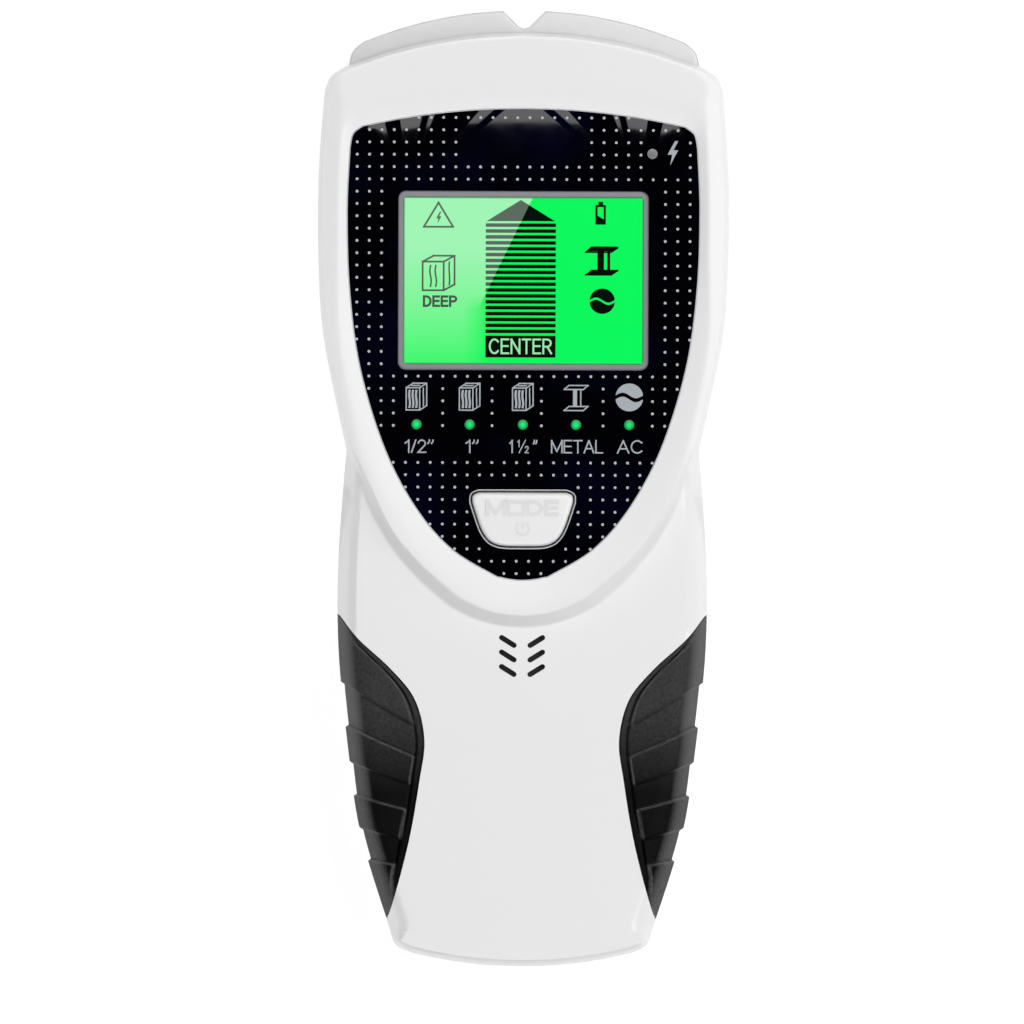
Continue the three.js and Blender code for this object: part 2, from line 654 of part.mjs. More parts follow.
const whiteShell = look(0xe6e6e6, 0.35);
const blackRubber = look(0x2b2b2d, 0.8);
const fasciaBlack = look(0x050509, 0.08);
const greyFrame = look(0x77757c, 0.5);
const greenGlass = look(0x0fe05e, 0.15);
const diffuser = look(0xf2f4ee, 0.6);
const zebraRubber = look(0xd8a0a8, 0.8);
const whiteKey = look(0xeeeeee, 0.3);
const boardGreen = look(0x1c5a34, 0.45);
const copper = look(0xc77b4a, 0.35, 1);
const formerWhite = look(0xe9e6dc, 0.6);
const chipBlack = look(0x1b1b1d, 0.5);
const tinned = look(0xbfc1c4, 0.3, 1);
const ledGreen = look(0x1edc69, 0.15);
const ledRed = look(0x6d6a70, 0.2);
const batteryCan = look(0x8b6a3a, 0.35, 0.8);
const redLead = look(0xb3201e, 0.5);
const blackLead = look(0x161616, 0.5);
const foamGrey = look(0x3b3b3e, 0.95);
const capSleeve = look(0x20304c, 0.4);

// ---------------------------------------------------------------- assembly

const scanner = new THREE.Group();

function place(name, solid, material) {
  const mesh = new THREE.Mesh(toGeometry(solid), material());
  mesh.name = name;
  scanner.add(mesh);
}

place('front_shell', frontShell(), whiteShell);
place('rear_shell', rearShell(), whiteShell);
place('grip_left', grip(-1), blackRubber);
place('grip_right', grip(1), blackRubber);
place('battery_door', batteryDoor(), whiteShell);
place('door_foam', doorFoam(), foamGrey);

place('fascia', fascia(), fasciaBlack);
place('display_frame', displayFrame(), greyFrame);
place('display_glass', displayGlass(), greenGlass);
place('display_backlight', backlight(), diffuser);
place('display_connector', displayConnector(), zebraRubber);
place('mode_button', modeButton(), whiteKey);
place('switch_body', switchBody(), chipBlack);
place('switch_plunger', switchPlunger(), chipBlack);

ledPlaces().forEach(([x, y], i) => {
  const warning = i === 5;
  place(warning ? 'warning_led' : `range_led_${i + 1}`, led(x, y), warning ? ledRed : ledGreen);
});

place('main_board', mainBoard(), boardGreen);
place('sensor_board', sensorBoard(), boardGreen);
place('sense_plate_left', sensePlate(-1), copper);
place('sense_plate_right', sensePlate(1), copper);
place('coil_former', coilFormer(), formerWhite);
place('metal_coil', coilWinding(), copper);
place('mains_antenna', mainsAntenna(), copper);
place('board_link', boardLink(), chipBlack);
place('microcontroller', underBoard(-13, 33, 12, 12, 1.6), chipBlack);
place('sense_amplifier', underBoard(11, 26, 5, 4, 1.5), chipBlack);
place('clock_crystal', underBoard(-13, 46, 11, 4.6, 3.5), tinned);
place('voltage_regulator', underBoard(13, 2, 6.5, 3.6, 1.7), chipBlack);
place('supply_capacitor', canCapacitor(16, 9.5, 3, 6.5), capSleeve);
place('filter_capacitor', canCapacitor(-16, 9.5, 2.5, 5.5), capSleeve);
place('power_inductor', inductor(-13, 1), chipBlack);
place('sounder', sounder(), chipBlack);

place('battery', battery(), batteryCan);
place('snap_connector', snapConnector(), blackLead);
place('battery_lead_red', batteryLead(1), redLead);
place('battery_lead_black', batteryLead(-1), blackLead);
place('sounder_lead_red', sounderLead(1), redLead);
place('sounder_lead_black', sounderLead(-1), blackLead);

CASE_SCREWS.forEach((spot, i) => place(`case_screw_${i + 1}`, caseScrew(spot), tinned));
BOARD_SCREWS.forEach((spot, i) => place(`board_screw_${i + 1}`, boardScrew(spot), tinned));

export default scanner;
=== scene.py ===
"""Looks of the hand-held wall scanner (stud finder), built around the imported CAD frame.

Shapes are worked out in millimetres and turned into metres where a mesh is made.
+Z points out of the display face, +Y towards the notched end, +X to the reader's right.
"""

import json
import math

import bmesh
import bpy
import numpy as np
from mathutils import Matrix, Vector
from mathutils.geometry import delaunay_2d_cdt


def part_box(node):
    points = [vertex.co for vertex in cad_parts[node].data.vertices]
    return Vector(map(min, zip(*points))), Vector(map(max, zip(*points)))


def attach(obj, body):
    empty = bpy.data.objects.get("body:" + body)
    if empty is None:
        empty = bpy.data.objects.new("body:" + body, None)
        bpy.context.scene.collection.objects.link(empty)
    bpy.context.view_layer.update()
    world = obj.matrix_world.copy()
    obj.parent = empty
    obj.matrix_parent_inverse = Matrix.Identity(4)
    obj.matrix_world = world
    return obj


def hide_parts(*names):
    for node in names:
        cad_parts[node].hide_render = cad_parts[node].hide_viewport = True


MM = 0.001
HOUSING = "housing"
BUTTON_BODY = "mode_button"
DOOR_BODY = "battery_door"

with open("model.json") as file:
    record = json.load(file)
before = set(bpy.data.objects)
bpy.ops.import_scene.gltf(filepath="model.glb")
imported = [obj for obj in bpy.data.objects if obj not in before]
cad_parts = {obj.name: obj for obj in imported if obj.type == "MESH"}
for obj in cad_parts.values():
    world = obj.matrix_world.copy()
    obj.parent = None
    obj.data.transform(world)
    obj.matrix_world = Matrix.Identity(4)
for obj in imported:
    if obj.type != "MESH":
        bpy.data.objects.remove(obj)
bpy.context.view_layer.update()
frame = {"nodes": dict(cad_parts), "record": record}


def span(node):
    """Lowest and highest corners of a CAD node, in millimetres."""
    low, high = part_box(node)
    return np.array(low) / MM, np.array(high) / MM


def plan_middle(node):
    """The middle of a CAD node, seen from above."""
    low, high = span(node)
    return (low + high)[:2] / 2


# ------------------------------------------------------------------ sizes from the frame

FRONT_LOW, HEAD_TOP = (corner[2] for corner in span("front_shell"))
FASCIA_LOW, FASCIA_HIGH = (corner[2] for corner in span("fascia"))
DISPLAY_TOP = span("display_glass")[1][2]
GAP = 0.3                       # clearance between neighbouring pieces
REAR_HIGH = FRONT_LOW - GAP     # top of the back, at the joint between the shells
HANDLE_TOP = 25.4               # face of the handle, lower than the head's rim
WALL = 2.0                      # thickness of the moulded shells
GRIP = 1.8                      # thickness of the rubber grips
GRIP_LOW = span("grip_left")[0][2]
GRIP_ROUNDING = 2.8             # how softly the grips round over from the side to the face
STEP = 0.8                      # spacing of points along the fine outlines

DISPLAY_Y = 39.1                # middle of the display
WINDOW = (45.3, 31.6)           # what the bezel leaves open
COLLAR = (47.2, 33.8)           # outside of the bezel
BUTTON_MID = -5.8               # middle of the mode button
LEDS = [plan_middle(f"range_led_{i}") for i in range(1, 6)]
WARNING = plan_middle("warning_led")
CASE_SCREWS = [plan_middle(f"case_screw_{i}") for i in range(1, 5)]


# ------------------------------------------------------------------ outlines

def resample(line, step):
    """Evenly spaced points along an open line."""
    line = np.asarray(line, float)
    lengths = np.hypot(*np.diff(line, axis=0).T)
    travelled = np.concatenate([[0], np.cumsum(lengths)])
    count = max(1, round(travelled[-1] / step))
    wanted = np.linspace(0, travelled[-1], count + 1)
    return np.column_stack([np.interp(wanted, travelled, line[:, i]) for i in (0, 1)])


def smooth(run, step=STEP):
    """Evenly spaced points of the smooth curve through the points of a run."""
    run = np.asarray(run, float)
    padded = np.vstack([run[:1], run, run[-1:]])
    t = np.linspace(0, 1, 24, endpoint=False)[:, None]
    fine = []
    for p0, p1, p2, p3 in zip(padded, padded[1:], padded[2:], padded[3:]):
        cubic = 3 * p1 - p0 - 3 * p2 + p3
        square = 2 * p0 - 5 * p1 + 4 * p2 - p3
        fine.append(p1 + 0.5 * ((p2 - p0) * t + square * t**2 + cubic * t**3))
    fine.append(run[-1:])
    return resample(np.vstack(fine), step)


def arch(crown, end, start_x=0.0):
    """Points of the arc centred on X = 0 from its crown to its end, or from start_x on."""
    rise = crown - end[1]
    radius = (end[0] ** 2 + rise**2) / (2 * rise)
    angles = np.linspace(math.asin(start_x / abs(radius)), math.asin(end[0] / abs(radius)), 5)
    return [[abs(radius) * math.sin(a), crown - radius * (1 - math.cos(a))] for a in angles]


def chain(runs, step=STEP):
    """The smooth runs joined end to end, with a corner where two of them meet."""
    parts = [smooth(run, step) for run in runs]
    return np.vstack([parts[0]] + [part[1:] for part in parts[1:]])


def mirrored(right):
    """A closed outline from its right half, which runs from top to bottom."""
    off_axis = right[right[:, 0] > 0.01]
    return np.vstack([right, off_axis[::-1] * [-1, 1]])


NECK = [33.2, 7.2]
HEAD_UPPER = [
    arch(86, [33, 79.7]),
    [[33, 79.7], [36.2, 77.7], [37.5, 75]],
    [[37.5, 75], [38.4, 63.7], [38.75, 52], [38.4, 37.3], [37.2, 26], NECK],
]
HANDLE_LOWER = [
    [NECK, [34.6, -12], [34.6, -30], [32.7, -49.2], [30.3, -65], [24.8, -82.8]],
    [[24.8, -82.8], [23.6, -86], [20.5, -87.5]],
    arch(-90, [20.5, -87.5])[::-1],
]
HEAD = mirrored(chain(HEAD_UPPER + [
    [NECK, [26.6, -7.1], [20.7, -15.3], *arch(-26, [14.5, -21.2])[::-1]],
]))
HANDLE = mirrored(chain([[[0, 30], [33, 30]], [[33, 30], NECK]] + HANDLE_LOWER))
CASE_RIGHT = chain(HEAD_UPPER + HANDLE_LOWER)
CASE = mirrored(CASE_RIGHT)
NOTCH_END = [4.05, 90.0]
LIP = mirrored(chain([
    [[0, 86.6], [0.35, 86.6], [0.7, 86.7], [1, 86.95]],
    [[1, 86.95], NOTCH_END],
    arch(90.1, [30.2, 84.1], NOTCH_END[0]),
    [[30.2, 84.1], [32.3, 82.2], [33, 79.6]],
    [[33, 79.6], [33, 66]],
    [[33, 66], [0, 66]],
]))
FASCIA = mirrored(chain([
    arch(71.6, [30.3, 68.2]),
    [[30.3, 68.2], [32.2, 66.7], [32.8, 64]],
    [
        [32.8, 64], [33.3, 52.4], [32.8, 37.3], [30.7, 22.3], [26, 7.2], [20, -4],
        [13.3, -11.6], *arch(-17.4, [5.4, -16.4])[::-1],
    ],
]))
BUTTON = mirrored(chain([
    [[0, BUTTON_MID + 5.1], [8.2, BUTTON_MID + 5.1]],
    [[8.2, BUTTON_MID + 5.1], [9.4, BUTTON_MID + 4.5], [9.5, BUTTON_MID + 3.1]],
    [[9.5, BUTTON_MID + 3.1], [7.4, BUTTON_MID - 2.6], [4.8, BUTTON_MID - 4.8], [0, BUTTON_MID - 5.1]],
], 0.35))
GRIP_EDGE = smooth([
    [37.5, -20.4], [34.4, -23.9], [30.8, -28.4], [24.6, -34.1], [20.1, -39.8], [18.3, -47.3],
    [19.2, -55], [21.1, -66.1], [24, -77.4], [26.2, -83.4],
])


def depth(outline, points):
    """How far inside a closed outline each point lies, negative outside."""
    points = np.asarray(points, float)
    runs = np.roll(outline, -1, axis=0) - outline
    squares = (runs**2).sum(1)
    result = np.empty(len(points))
    batch = 2000
    for first in range(0, len(points), batch):
        to_point = points[first:first + batch, None] - outline[None]
        share = np.clip((to_point * runs).sum(2) / squares, 0, 1)
        distance = np.hypot(*(to_point - share[..., None] * runs).transpose(2, 0, 1)).min(1)
        above = to_point[..., 1] >= 0
        next_above = np.roll(above, -1, axis=1)
        crossing = to_point[..., 0] * runs[:, 1] - to_point[..., 1] * runs[:, 0]
        passes = (above != next_above) & ((crossing < 0) == (runs[:, 1] > 0))
        within = passes.sum(1) % 2 == 1
        result[first:first + batch] = np.where(within, distance, -distance)
    return result


def inside(outline, points):
    return depth(outline, points) > 0


def turns_left(outline):
    after = np.roll(outline, -1, axis=0)
    return (outline[:, 0] * after[:, 1] - outline[:, 1] * after[:, 0]).sum() > 0


def counter_clockwise(outline):
    outline = np.asarray(outline, float)
    return outline if turns_left(outline) else outline[::-1]


def inwards(outline):
    """Unit vectors pointing into a closed outline, at each of its points."""
    along = np.roll(outline, -1, axis=0) - np.roll(outline, 1, axis=0)
    along /= np.hypot(*along.T)[:, None]
    return np.column_stack([-along[:, 1], along[:, 0]]) * (1 if turns_left(outline) else -1)


def offset(outline, distance):
    """Points of the outline moved inwards by a distance, outwards if it is negative, and the
    places where they would fold over each other left out."""
    moved = outline + inwards(outline) * distance
    return moved[np.abs(depth(outline, moved)) > abs(distance) * 0.96 - 0.01]


# ------------------------------------------------------------------ meshes

def new_object(name, vertices, faces, sharp=40):
    """An object from points in millimetres, with edges sharper than an angle kept crisp."""
    mesh = bpy.data.meshes.new(name)
    mesh.from_pydata([Vector(v) * MM for v in vertices], [], [list(face) for face in faces])
    mesh.validate()
    mesh.shade_smooth()
    mesh.set_sharp_from_angle(angle=math.radians(sharp))
    piece = bpy.data.objects.new(name, mesh)
    bpy.context.scene.collection.objects.link(piece)
    return piece


def finish_piece(piece, material, body, replaces=()):
    """Gives a piece its material and says what it rides on and what it stands for."""
    piece.data.materials.clear()
    piece.data.materials.append(material)
    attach(piece, body)
    if replaces:
        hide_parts(*replaces)
    return piece


def band(count, first, second):
    """Faces between two rings of a count of points, which start at the given numbers."""
    following = [*range(1, count), 0]
    return [(first + i, first + j, second + j, second + i) for i, j in enumerate(following)]


def skin(rows, columns):
    """Faces of a closed skin between two layers of points, each a grid of rows and columns."""
    layer = rows * columns
    faces = []
    for row in range(0, layer - columns, columns):
        for a in range(row, row + columns - 1):
            quad = (a, a + columns, a + columns + 1, a + 1)
            faces += [quad, tuple(layer + v for v in quad[::-1])]
    rim = [*range(columns - 1), *range(columns - 1, layer - 1, columns)]
    rim += [*range(layer - 1, layer - columns, -1), *range(layer - columns, 0, -columns)]
    faces += [(a, b, layer + b, layer + a) for a, b in zip(rim, rim[1:] + rim[:1])]
    return faces


def loft(name, rings, sharp=40):
    """A closed body through rings of equally many points, capped at both ends."""
    count = len(rings[0])
    vertices = np.vstack(rings)
    faces = []
    for low in range(0, len(vertices) - count, count):
        faces += band(count, low, low + count)
    faces.append(tuple(range(count))[::-1])
    faces.append(tuple(range(len(vertices) - count, len(vertices))))
    return new_object(name, vertices, faces, sharp)


def level_ring(outline, inset, height):
    """A counter-clockwise outline, moved inwards by an inset, at a height."""
    return np.column_stack([outline + inwards(outline) * inset, np.full(len(outline), height)])


def slab(name, outline, low, high, top_edge=0.0, bottom_edge=0.0, steps=4, sharp=40):
    """An upright plate whose rims are rounded by the given radii."""
    outline = counter_clockwise(outline)
    quarter = np.linspace(0, math.pi / 2, steps + 1)
    bulge = np.column_stack([1 - np.sin(quarter), 1 - np.cos(quarter)])
    section = bottom_edge * bulge + [0, low] if bottom_edge else np.array([[0, low]])
    rim = top_edge * bulge[:, ::-1] * [1, -1] + [0, high] if top_edge else np.array([[0, high]])
    section = np.vstack([section, rim])
    return loft(name, [level_ring(outline, inset, height) for inset, height in section], sharp)


def rectangle(left, right, low, high):
    return np.array([[left, low], [right, low], [right, high], [left, high]])


def box(low, high):
    return slab("box", rectangle(low[0], high[0], low[1], high[1]), low[2], high[2])


def middle_box(half, along, heights):
    """A box about X = 0, between two places along Y and two heights."""
    return box([-half, along[0], heights[0]], [half, along[1], heights[1]])


def circle(x, y, radius, sides=32):
    angles = np.arange(sides) * 2 * math.pi / sides
    return np.column_stack([x + radius * np.cos(angles), y + radius * np.sin(angles)])


def rounded_rectangle(width, height, radius, x=0.0, y=0.0, steps=6):
    corners = [(1, 1, 0), (-1, 1, 90), (-1, -1, 180), (1, -1, 270)]
    outline = []
    for sign_x, sign_y, start in corners:
        for i in range(steps + 1):
            angle = math.radians(start + 90 * i / steps)
            outline.append([
                x + sign_x * (width / 2 - radius) + radius * math.cos(angle),
                y + sign_y * (height / 2 - radius) + radius * math.sin(angle),
            ])
    return np.array(outline)


def turned(name, profile, x, y, sides=40, sharp=35):
    """A round body about the vertical axis at x, y, from radius and height pairs."""
    rings = [
        np.column_stack([circle(x, y, max(radius, 1e-3), sides), np.full(sides, height)])
        for radius, height in profile
    ]
    return loft(name, rings, sharp)


def combine(target, operation, *tools):
    """Joins the tools to the target or cuts them out of it, and throws them away."""
    for tool in tools:
        modifier = target.modifiers.new("combine", "BOOLEAN")
        modifier.operation = operation
        modifier.solver = "MANIFOLD"
        modifier.object = tool
    bpy.context.view_layer.update()
    graph = bpy.context.evaluated_depsgraph_get()
    mesh = bpy.data.meshes.new_from_object(target.evaluated_get(graph))
    target.modifiers.clear()
    target.data = mesh
    for tool in tools:
        bpy.data.objects.remove(tool)
    return target


def crisp(piece, sharp=35):
    """Smooth shading again after cuts, with the cuts' own edges kept sharp, and without the
    slivers that the cuts leave."""
    shape = bmesh.new()
    shape.from_mesh(piece.data)
    many_sided = [face for face in shape.faces if len(face.verts) > 4]
    bmesh.ops.triangulate(shape, faces=many_sided)
    bmesh.ops.dissolve_degenerate(shape, dist=1e-6, edges=shape.edges[:])
    shape.to_mesh(piece.data)
    shape.free()
    piece.data.shade_smooth()
    piece.data.set_sharp_from_angle(angle=math.radians(sharp))
    return piece


def merge(name, parts, sharp=40):
    """One object from several, which are thrown away."""
    vertices, faces = [], []
    for part in parts:
        start = len(vertices)
        vertices += [Vector(v.co) / MM for v in part.data.vertices]
        faces += [[start + i for i in polygon.vertices] for polygon in part.data.polygons]
        bpy.data.objects.remove(part)
    return new_object(name, vertices, faces, sharp)


# ------------------------------------------------------------------ moulded surfaces

def ramp(value, start, end):
    """0 at start, 1 at end, with soft ends."""
    share = np.clip((value - start) / (end - start), 0, 1)
    return share * share * (3 - 2 * share)


def mix(first, second, share):
    return first + (second - first) * share


def soft_max(first, second, reach):
    share = np.clip(0.5 + 0.5 * (first - second) / reach, 0, 1)
    return mix(second, first, share) + reach * share * (1 - share)


def soft_min(first, second, reach):
    return -soft_max(-first, -second, reach)


def rounded_edge(inward, width, low, high, power):
    """Height of a wall that rises at the rim and rounds over to high, width further in."""
    share = np.clip(1 - inward / width, 0, 1)
    return low + (high - low) * (1 - share**power) ** (1 / power)


HANDLE_CROWN = 0.35             # fall of the handle's face from its middle to its sides
CHAMFER, CHAMFER_SLOPE = 3.7, 0.95
SIDE_SLOPE = 5.3                # rise of the handle's side for each millimetre inwards
RIM_WIDTH = 3.8                 # shoulder of the head's rim beside the fascia
RIM_AT_END, RIM_AT_HANDLE = 1.3, 2.3


def handle_face(points, sunk=0.0, rounding=0.25):
    """Height of the handle's surface: a steep side, a chamfer and a slightly crowned face."""
    inward = depth(HANDLE, points) - sunk
    inward = inward / mix(1.0, 0.3, ramp(-points[:, 1], 81.5, 86))
    top = HANDLE_TOP - sunk
    face = top - HANDLE_CROWN * (points[:, 0] / 31) ** 2
    chamfer = top - 0.2 - (CHAMFER - inward) * CHAMFER_SLOPE
    side = FRONT_LOW + SIDE_SLOPE * inward
    height = soft_min(soft_min(face, chamfer, rounding), side, 1.4 + 1.5 * rounding)
    return np.where(inward <= 0, FRONT_LOW, np.maximum(height, FRONT_LOW))


def head_face(points):
    """Height of the head: rounded sides, a raised rim and a slope down to the handle."""
    inward = depth(HEAD, points)
    outside_fascia = -depth(FASCIA, points)
    y = points[:, 1]
    over_handle = ramp(-y, -11, 2)
    width = mix(RIM_WIDTH, RIM_AT_END, ramp(y, 71, 80.5))
    width = mix(width, RIM_AT_HANDLE, ramp(-y, -48, -18))
    wall = FRONT_LOW + inward * (HEAD_TOP - FRONT_LOW) / 0.85
    shoulder = HEAD_TOP - 0.33 * np.maximum(width - inward, 0)
    side = soft_min(wall, shoulder, 0.6)
    steepness = mix(1.7, 1.05, ramp(-y, 4, 20))
    slope = soft_min(HANDLE_TOP + (inward + 0.2) * steepness, np.full(len(y), HEAD_TOP), 0.4)
    outer = mix(side, slope, over_handle)
    rim = inward + outside_fascia - width
    slant = np.clip(rim, 1.25, mix(4.0, 9.0, over_handle))
    drop = HEAD_TOP - FASCIA_HIGH
    inner = HEAD_TOP - drop * np.clip(1 - outside_fascia / slant, 0, 1) ** 1.15
    crown = 0.3 * (points[:, 0] / 36) ** 2 * ramp(y, 70, 80)
    return np.minimum(soft_min(outer, inner, 0.16) - crown, HEAD_TOP)


def front_face(points):
    height = soft_max(head_face(points), handle_face(points), 0.4)
    edge = depth(CASE, points)
    return np.where(edge < 1e-3, FRONT_LOW, np.clip(height, FRONT_LOW, HEAD_TOP))


def rear_face(points):
    """Height of the back, which is flat with rounded edges all round."""
    deepest = np.full(len(points), REAR_HIGH)
    for outline, width, power in ((HEAD, 2.4, 2.6), (HANDLE, 3.2, 2.3), (LIP, 1.8, 2.4)):
        inward = depth(outline, points)
        surface = REAR_HIGH - rounded_edge(inward, width, 0, REAR_HIGH, power)
        deepest = np.minimum(deepest, np.where(inward > 0, surface, REAR_HIGH))
    return deepest


def triangulate(loops, rows, spacing):
    """Triangles over a field of points in which the loops and rows are kept as edges."""
    points, edges = [], []
    for line, closed in [(loop, True) for loop in loops] + [(row, False) for row in rows]:
        start = len(points)
        points.extend(line)
        for i in range(len(line) - (0 if closed else 1)):
            j = (i + 1) % len(line)
            if closed or math.dist(line[i], line[j]) < 3 * STEP:
                edges.append((start + i, start + j))
    low, high = np.min(points, axis=0), np.max(points, axis=0)
    fixed = np.array(points)
    for row, y in enumerate(np.arange(low[1], high[1], spacing * 0.866)):
        across = np.arange(low[0] + (row % 2) * spacing / 2, high[0], spacing)
        for x in across:
            if np.abs(fixed - [x, y]).max(1).min() > spacing * 0.45:
                points.append([x, y])
    result = delaunay_2d_cdt([Vector(p) for p in points], edges, [], 0, 1e-4)
    flat = np.array([p[:] for p in result[0]])
    return flat, np.array(result[2])


def layered_solid(name, points, triangles, labels, heights, sharp=30):
    """A closed body over labelled triangles: label -1 is empty, and for every other label
    heights holds its top and its bottom, with upright walls where labels meet."""
    vertices, faces, known = [], [], {}

    def vertex(i, height):
        key = (i, round(height, 3))
        if key not in known:
            known[key] = len(vertices)
            vertices.append((points[i][0], points[i][1], height))
        return known[key]

    def add(*corners):
        face = [vertex(i, height) for i, height in corners]
        face = [v for n, v in enumerate(face) if v != face[n - 1]]
        if len(set(face)) == len(face) > 2:
            faces.append(face)

    neighbour = {}
    for label, (a, b, c) in zip(labels.tolist(), triangles.tolist()):
        for edge in ((a, b), (b, c), (c, a)):
            neighbour[edge] = label
    for label, corners in zip(labels.tolist(), triangles.tolist()):
        if label < 0:
            continue
        upper, lower = heights[label]
        if max(upper[i] - lower[i] for i in corners) < 2e-3:
            continue
        add(*[(i, upper[i]) for i in corners])
        add(*[(i, lower[i]) for i in corners[::-1]])
        for a, b in zip(corners, corners[1:] + corners[:1]):
            other = neighbour.get((b, a), -1)
            if other == -1:
                add((a, lower[a]), (b, lower[b]), (b, upper[b]), (a, upper[a]))
            elif other < label:
                other_upper, other_lower = heights[other]
                for first, second in ((other_upper, upper), (lower, other_lower)):
                    add((a, first[a]), (b, first[b]), (b, second[b]), (a, second[a]))
    return new_object(name, vertices, faces, sharp)


def sound_slots():
    """Outlines of the six slanted slots over the sounder."""
    pitch, radius = 2.73, 0.5
    outlines = []
    for side in (-1, 1):
        for row in range(3):
            start = np.array([side * 3.84, -28.05 - pitch * row])
            end = np.array([side * 1.52, -29.5 - pitch * row])
            heading = math.atan2(*(end - start)[::-1])
            outline = []
            for centre, first in ((end, heading - math.pi / 2), (start, heading + math.pi / 2)):
                for i in range(9):
                    angle = first + i * math.pi / 8
                    outline.append(centre + radius * np.array([math.cos(angle), math.sin(angle)]))
            outlines.append(np.array(outline))
    return outlines


def grip_region(side):
    """Plan of the side of the handle that a grip covers, reaching past the silhouette."""
    edge = GRIP_EDGE * [side, 1]
    return np.vstack([edge, [[side * 50, edge[-1][1]], [side * 50, edge[0][1]]]])


def rows_of(outline, distances, keep):
    """Lines at the given distances inside an outline, cut where keep says no."""
    rows = []
    for distance in distances:
        line = offset(outline, distance)
        rows.append(line[keep(line)])
    return rows


def front_cover(material):
    """The upper shell: its moulded face, the fascia's opening, grip pockets and slots."""
    slots = sound_slots()
    edges = [GRIP_EDGE * [side, 1] for side in (-1, 1)]
    rows = [edge[depth(CASE, edge) > 0.02] for edge in edges]
    rows += rows_of(CASE, [0.08, 0.2, 0.4, 0.65, 0.95, 1.3, 1.7, 2.1, 2.6, 3.1, 3.6, 4.2],
                    lambda p: (depth(CASE, p) > 0) & (depth(FASCIA, p) < -0.3))
    rows += rows_of(HEAD, np.arange(-1.5, 4.6, 0.3), lambda p: (p[:, 1] < 9) & (depth(CASE, p) > 0.3))
    rows += rows_of(FASCIA, [-0.15, -0.35, -0.6, -0.9, -1.2, -1.6, -2.2],
                    lambda p: depth(CASE, p) > 0.3)
    points, triangles = triangulate([CASE, FASCIA, *slots], rows, 1.7)
    centres = points[triangles].mean(1)
    labels = np.where(inside(CASE, centres) & ~inside(FASCIA, centres), 1, -1)
    for slot in slots:
        labels[inside(slot, centres)] = -1
    for side in (-1, 1):
        labels[(labels == 1) & inside(grip_region(side), centres)] = 0
    face = front_face(points)
    under_grip = handle_face(points, sunk=GRIP + GAP, rounding=GRIP_ROUNDING)
    hollow = depth(CASE, points)
    heights = []
    for surface, wall in ((under_grip, GRIP + GAP + WALL), (face, WALL)):
        ceiling = np.maximum(surface - WALL, FRONT_LOW)
        underside = mix(FRONT_LOW, ceiling, ramp(hollow, wall, wall + 0.8))
        heights.append((surface, np.minimum(underside, surface)))
    piece = layered_solid("front_cover", points, triangles, labels, heights)
    return finish_piece(piece, material, HOUSING, ["front_shell"])


# ------------------------------------------------------------------ rear cover and door

def back_block(name):
    """The whole back of the case as one solid, before anything is cut out of it."""
    insets = [0.08, 0.2, 0.4, 0.7, 1.1, 1.6, 2.1, 2.7, 3.3]
    case_rows = rows_of(CASE, insets, lambda p: inside(CASE, p))
    lip_rows = rows_of(LIP, [0.1, 0.25, 0.5, 0.9, 1.4, 1.9], lambda p: p[:, 1] > 79)
    points, triangles = triangulate([CASE, LIP], case_rows + lip_rows, 3.0)
    centres = points[triangles].mean(1)
    labels = np.where(inside(CASE, centres) | inside(LIP, centres), 0, -1)
    low = rear_face(points)
    lip_rim = np.minimum(depth(LIP, points), 0.5) / 0.5
    on_lip = depth(CASE, points) < 0
    high = np.where(on_lip, REAR_HIGH - 0.3 * (1 - np.clip(lip_rim, 0, 1)) ** 2, REAR_HIGH)
    return layered_solid(name, points, triangles, labels, [(high, low)])


DOOR_FLANGE = span("battery_door")[1][0]    # half width over the door's sliding edges
DOOR_HALF = DOOR_FLANGE - 1.5               # half width of the door's outside
DOOR_END = -34.0                            # the end of the door under the head
RAIL_FLOOR, RAIL_TOP = 3.4, 5.2             # heights of the rails that the door slides in
RAIL_END = -82                              # where rails and sliding edges stop at the tail
BAY_HALF, BAY_END, BAY_TOP = 13.7, -33, 21.2
BAY_WALL = 1.5
BEYOND = -95                                # a place past the tail, for tools that cut through


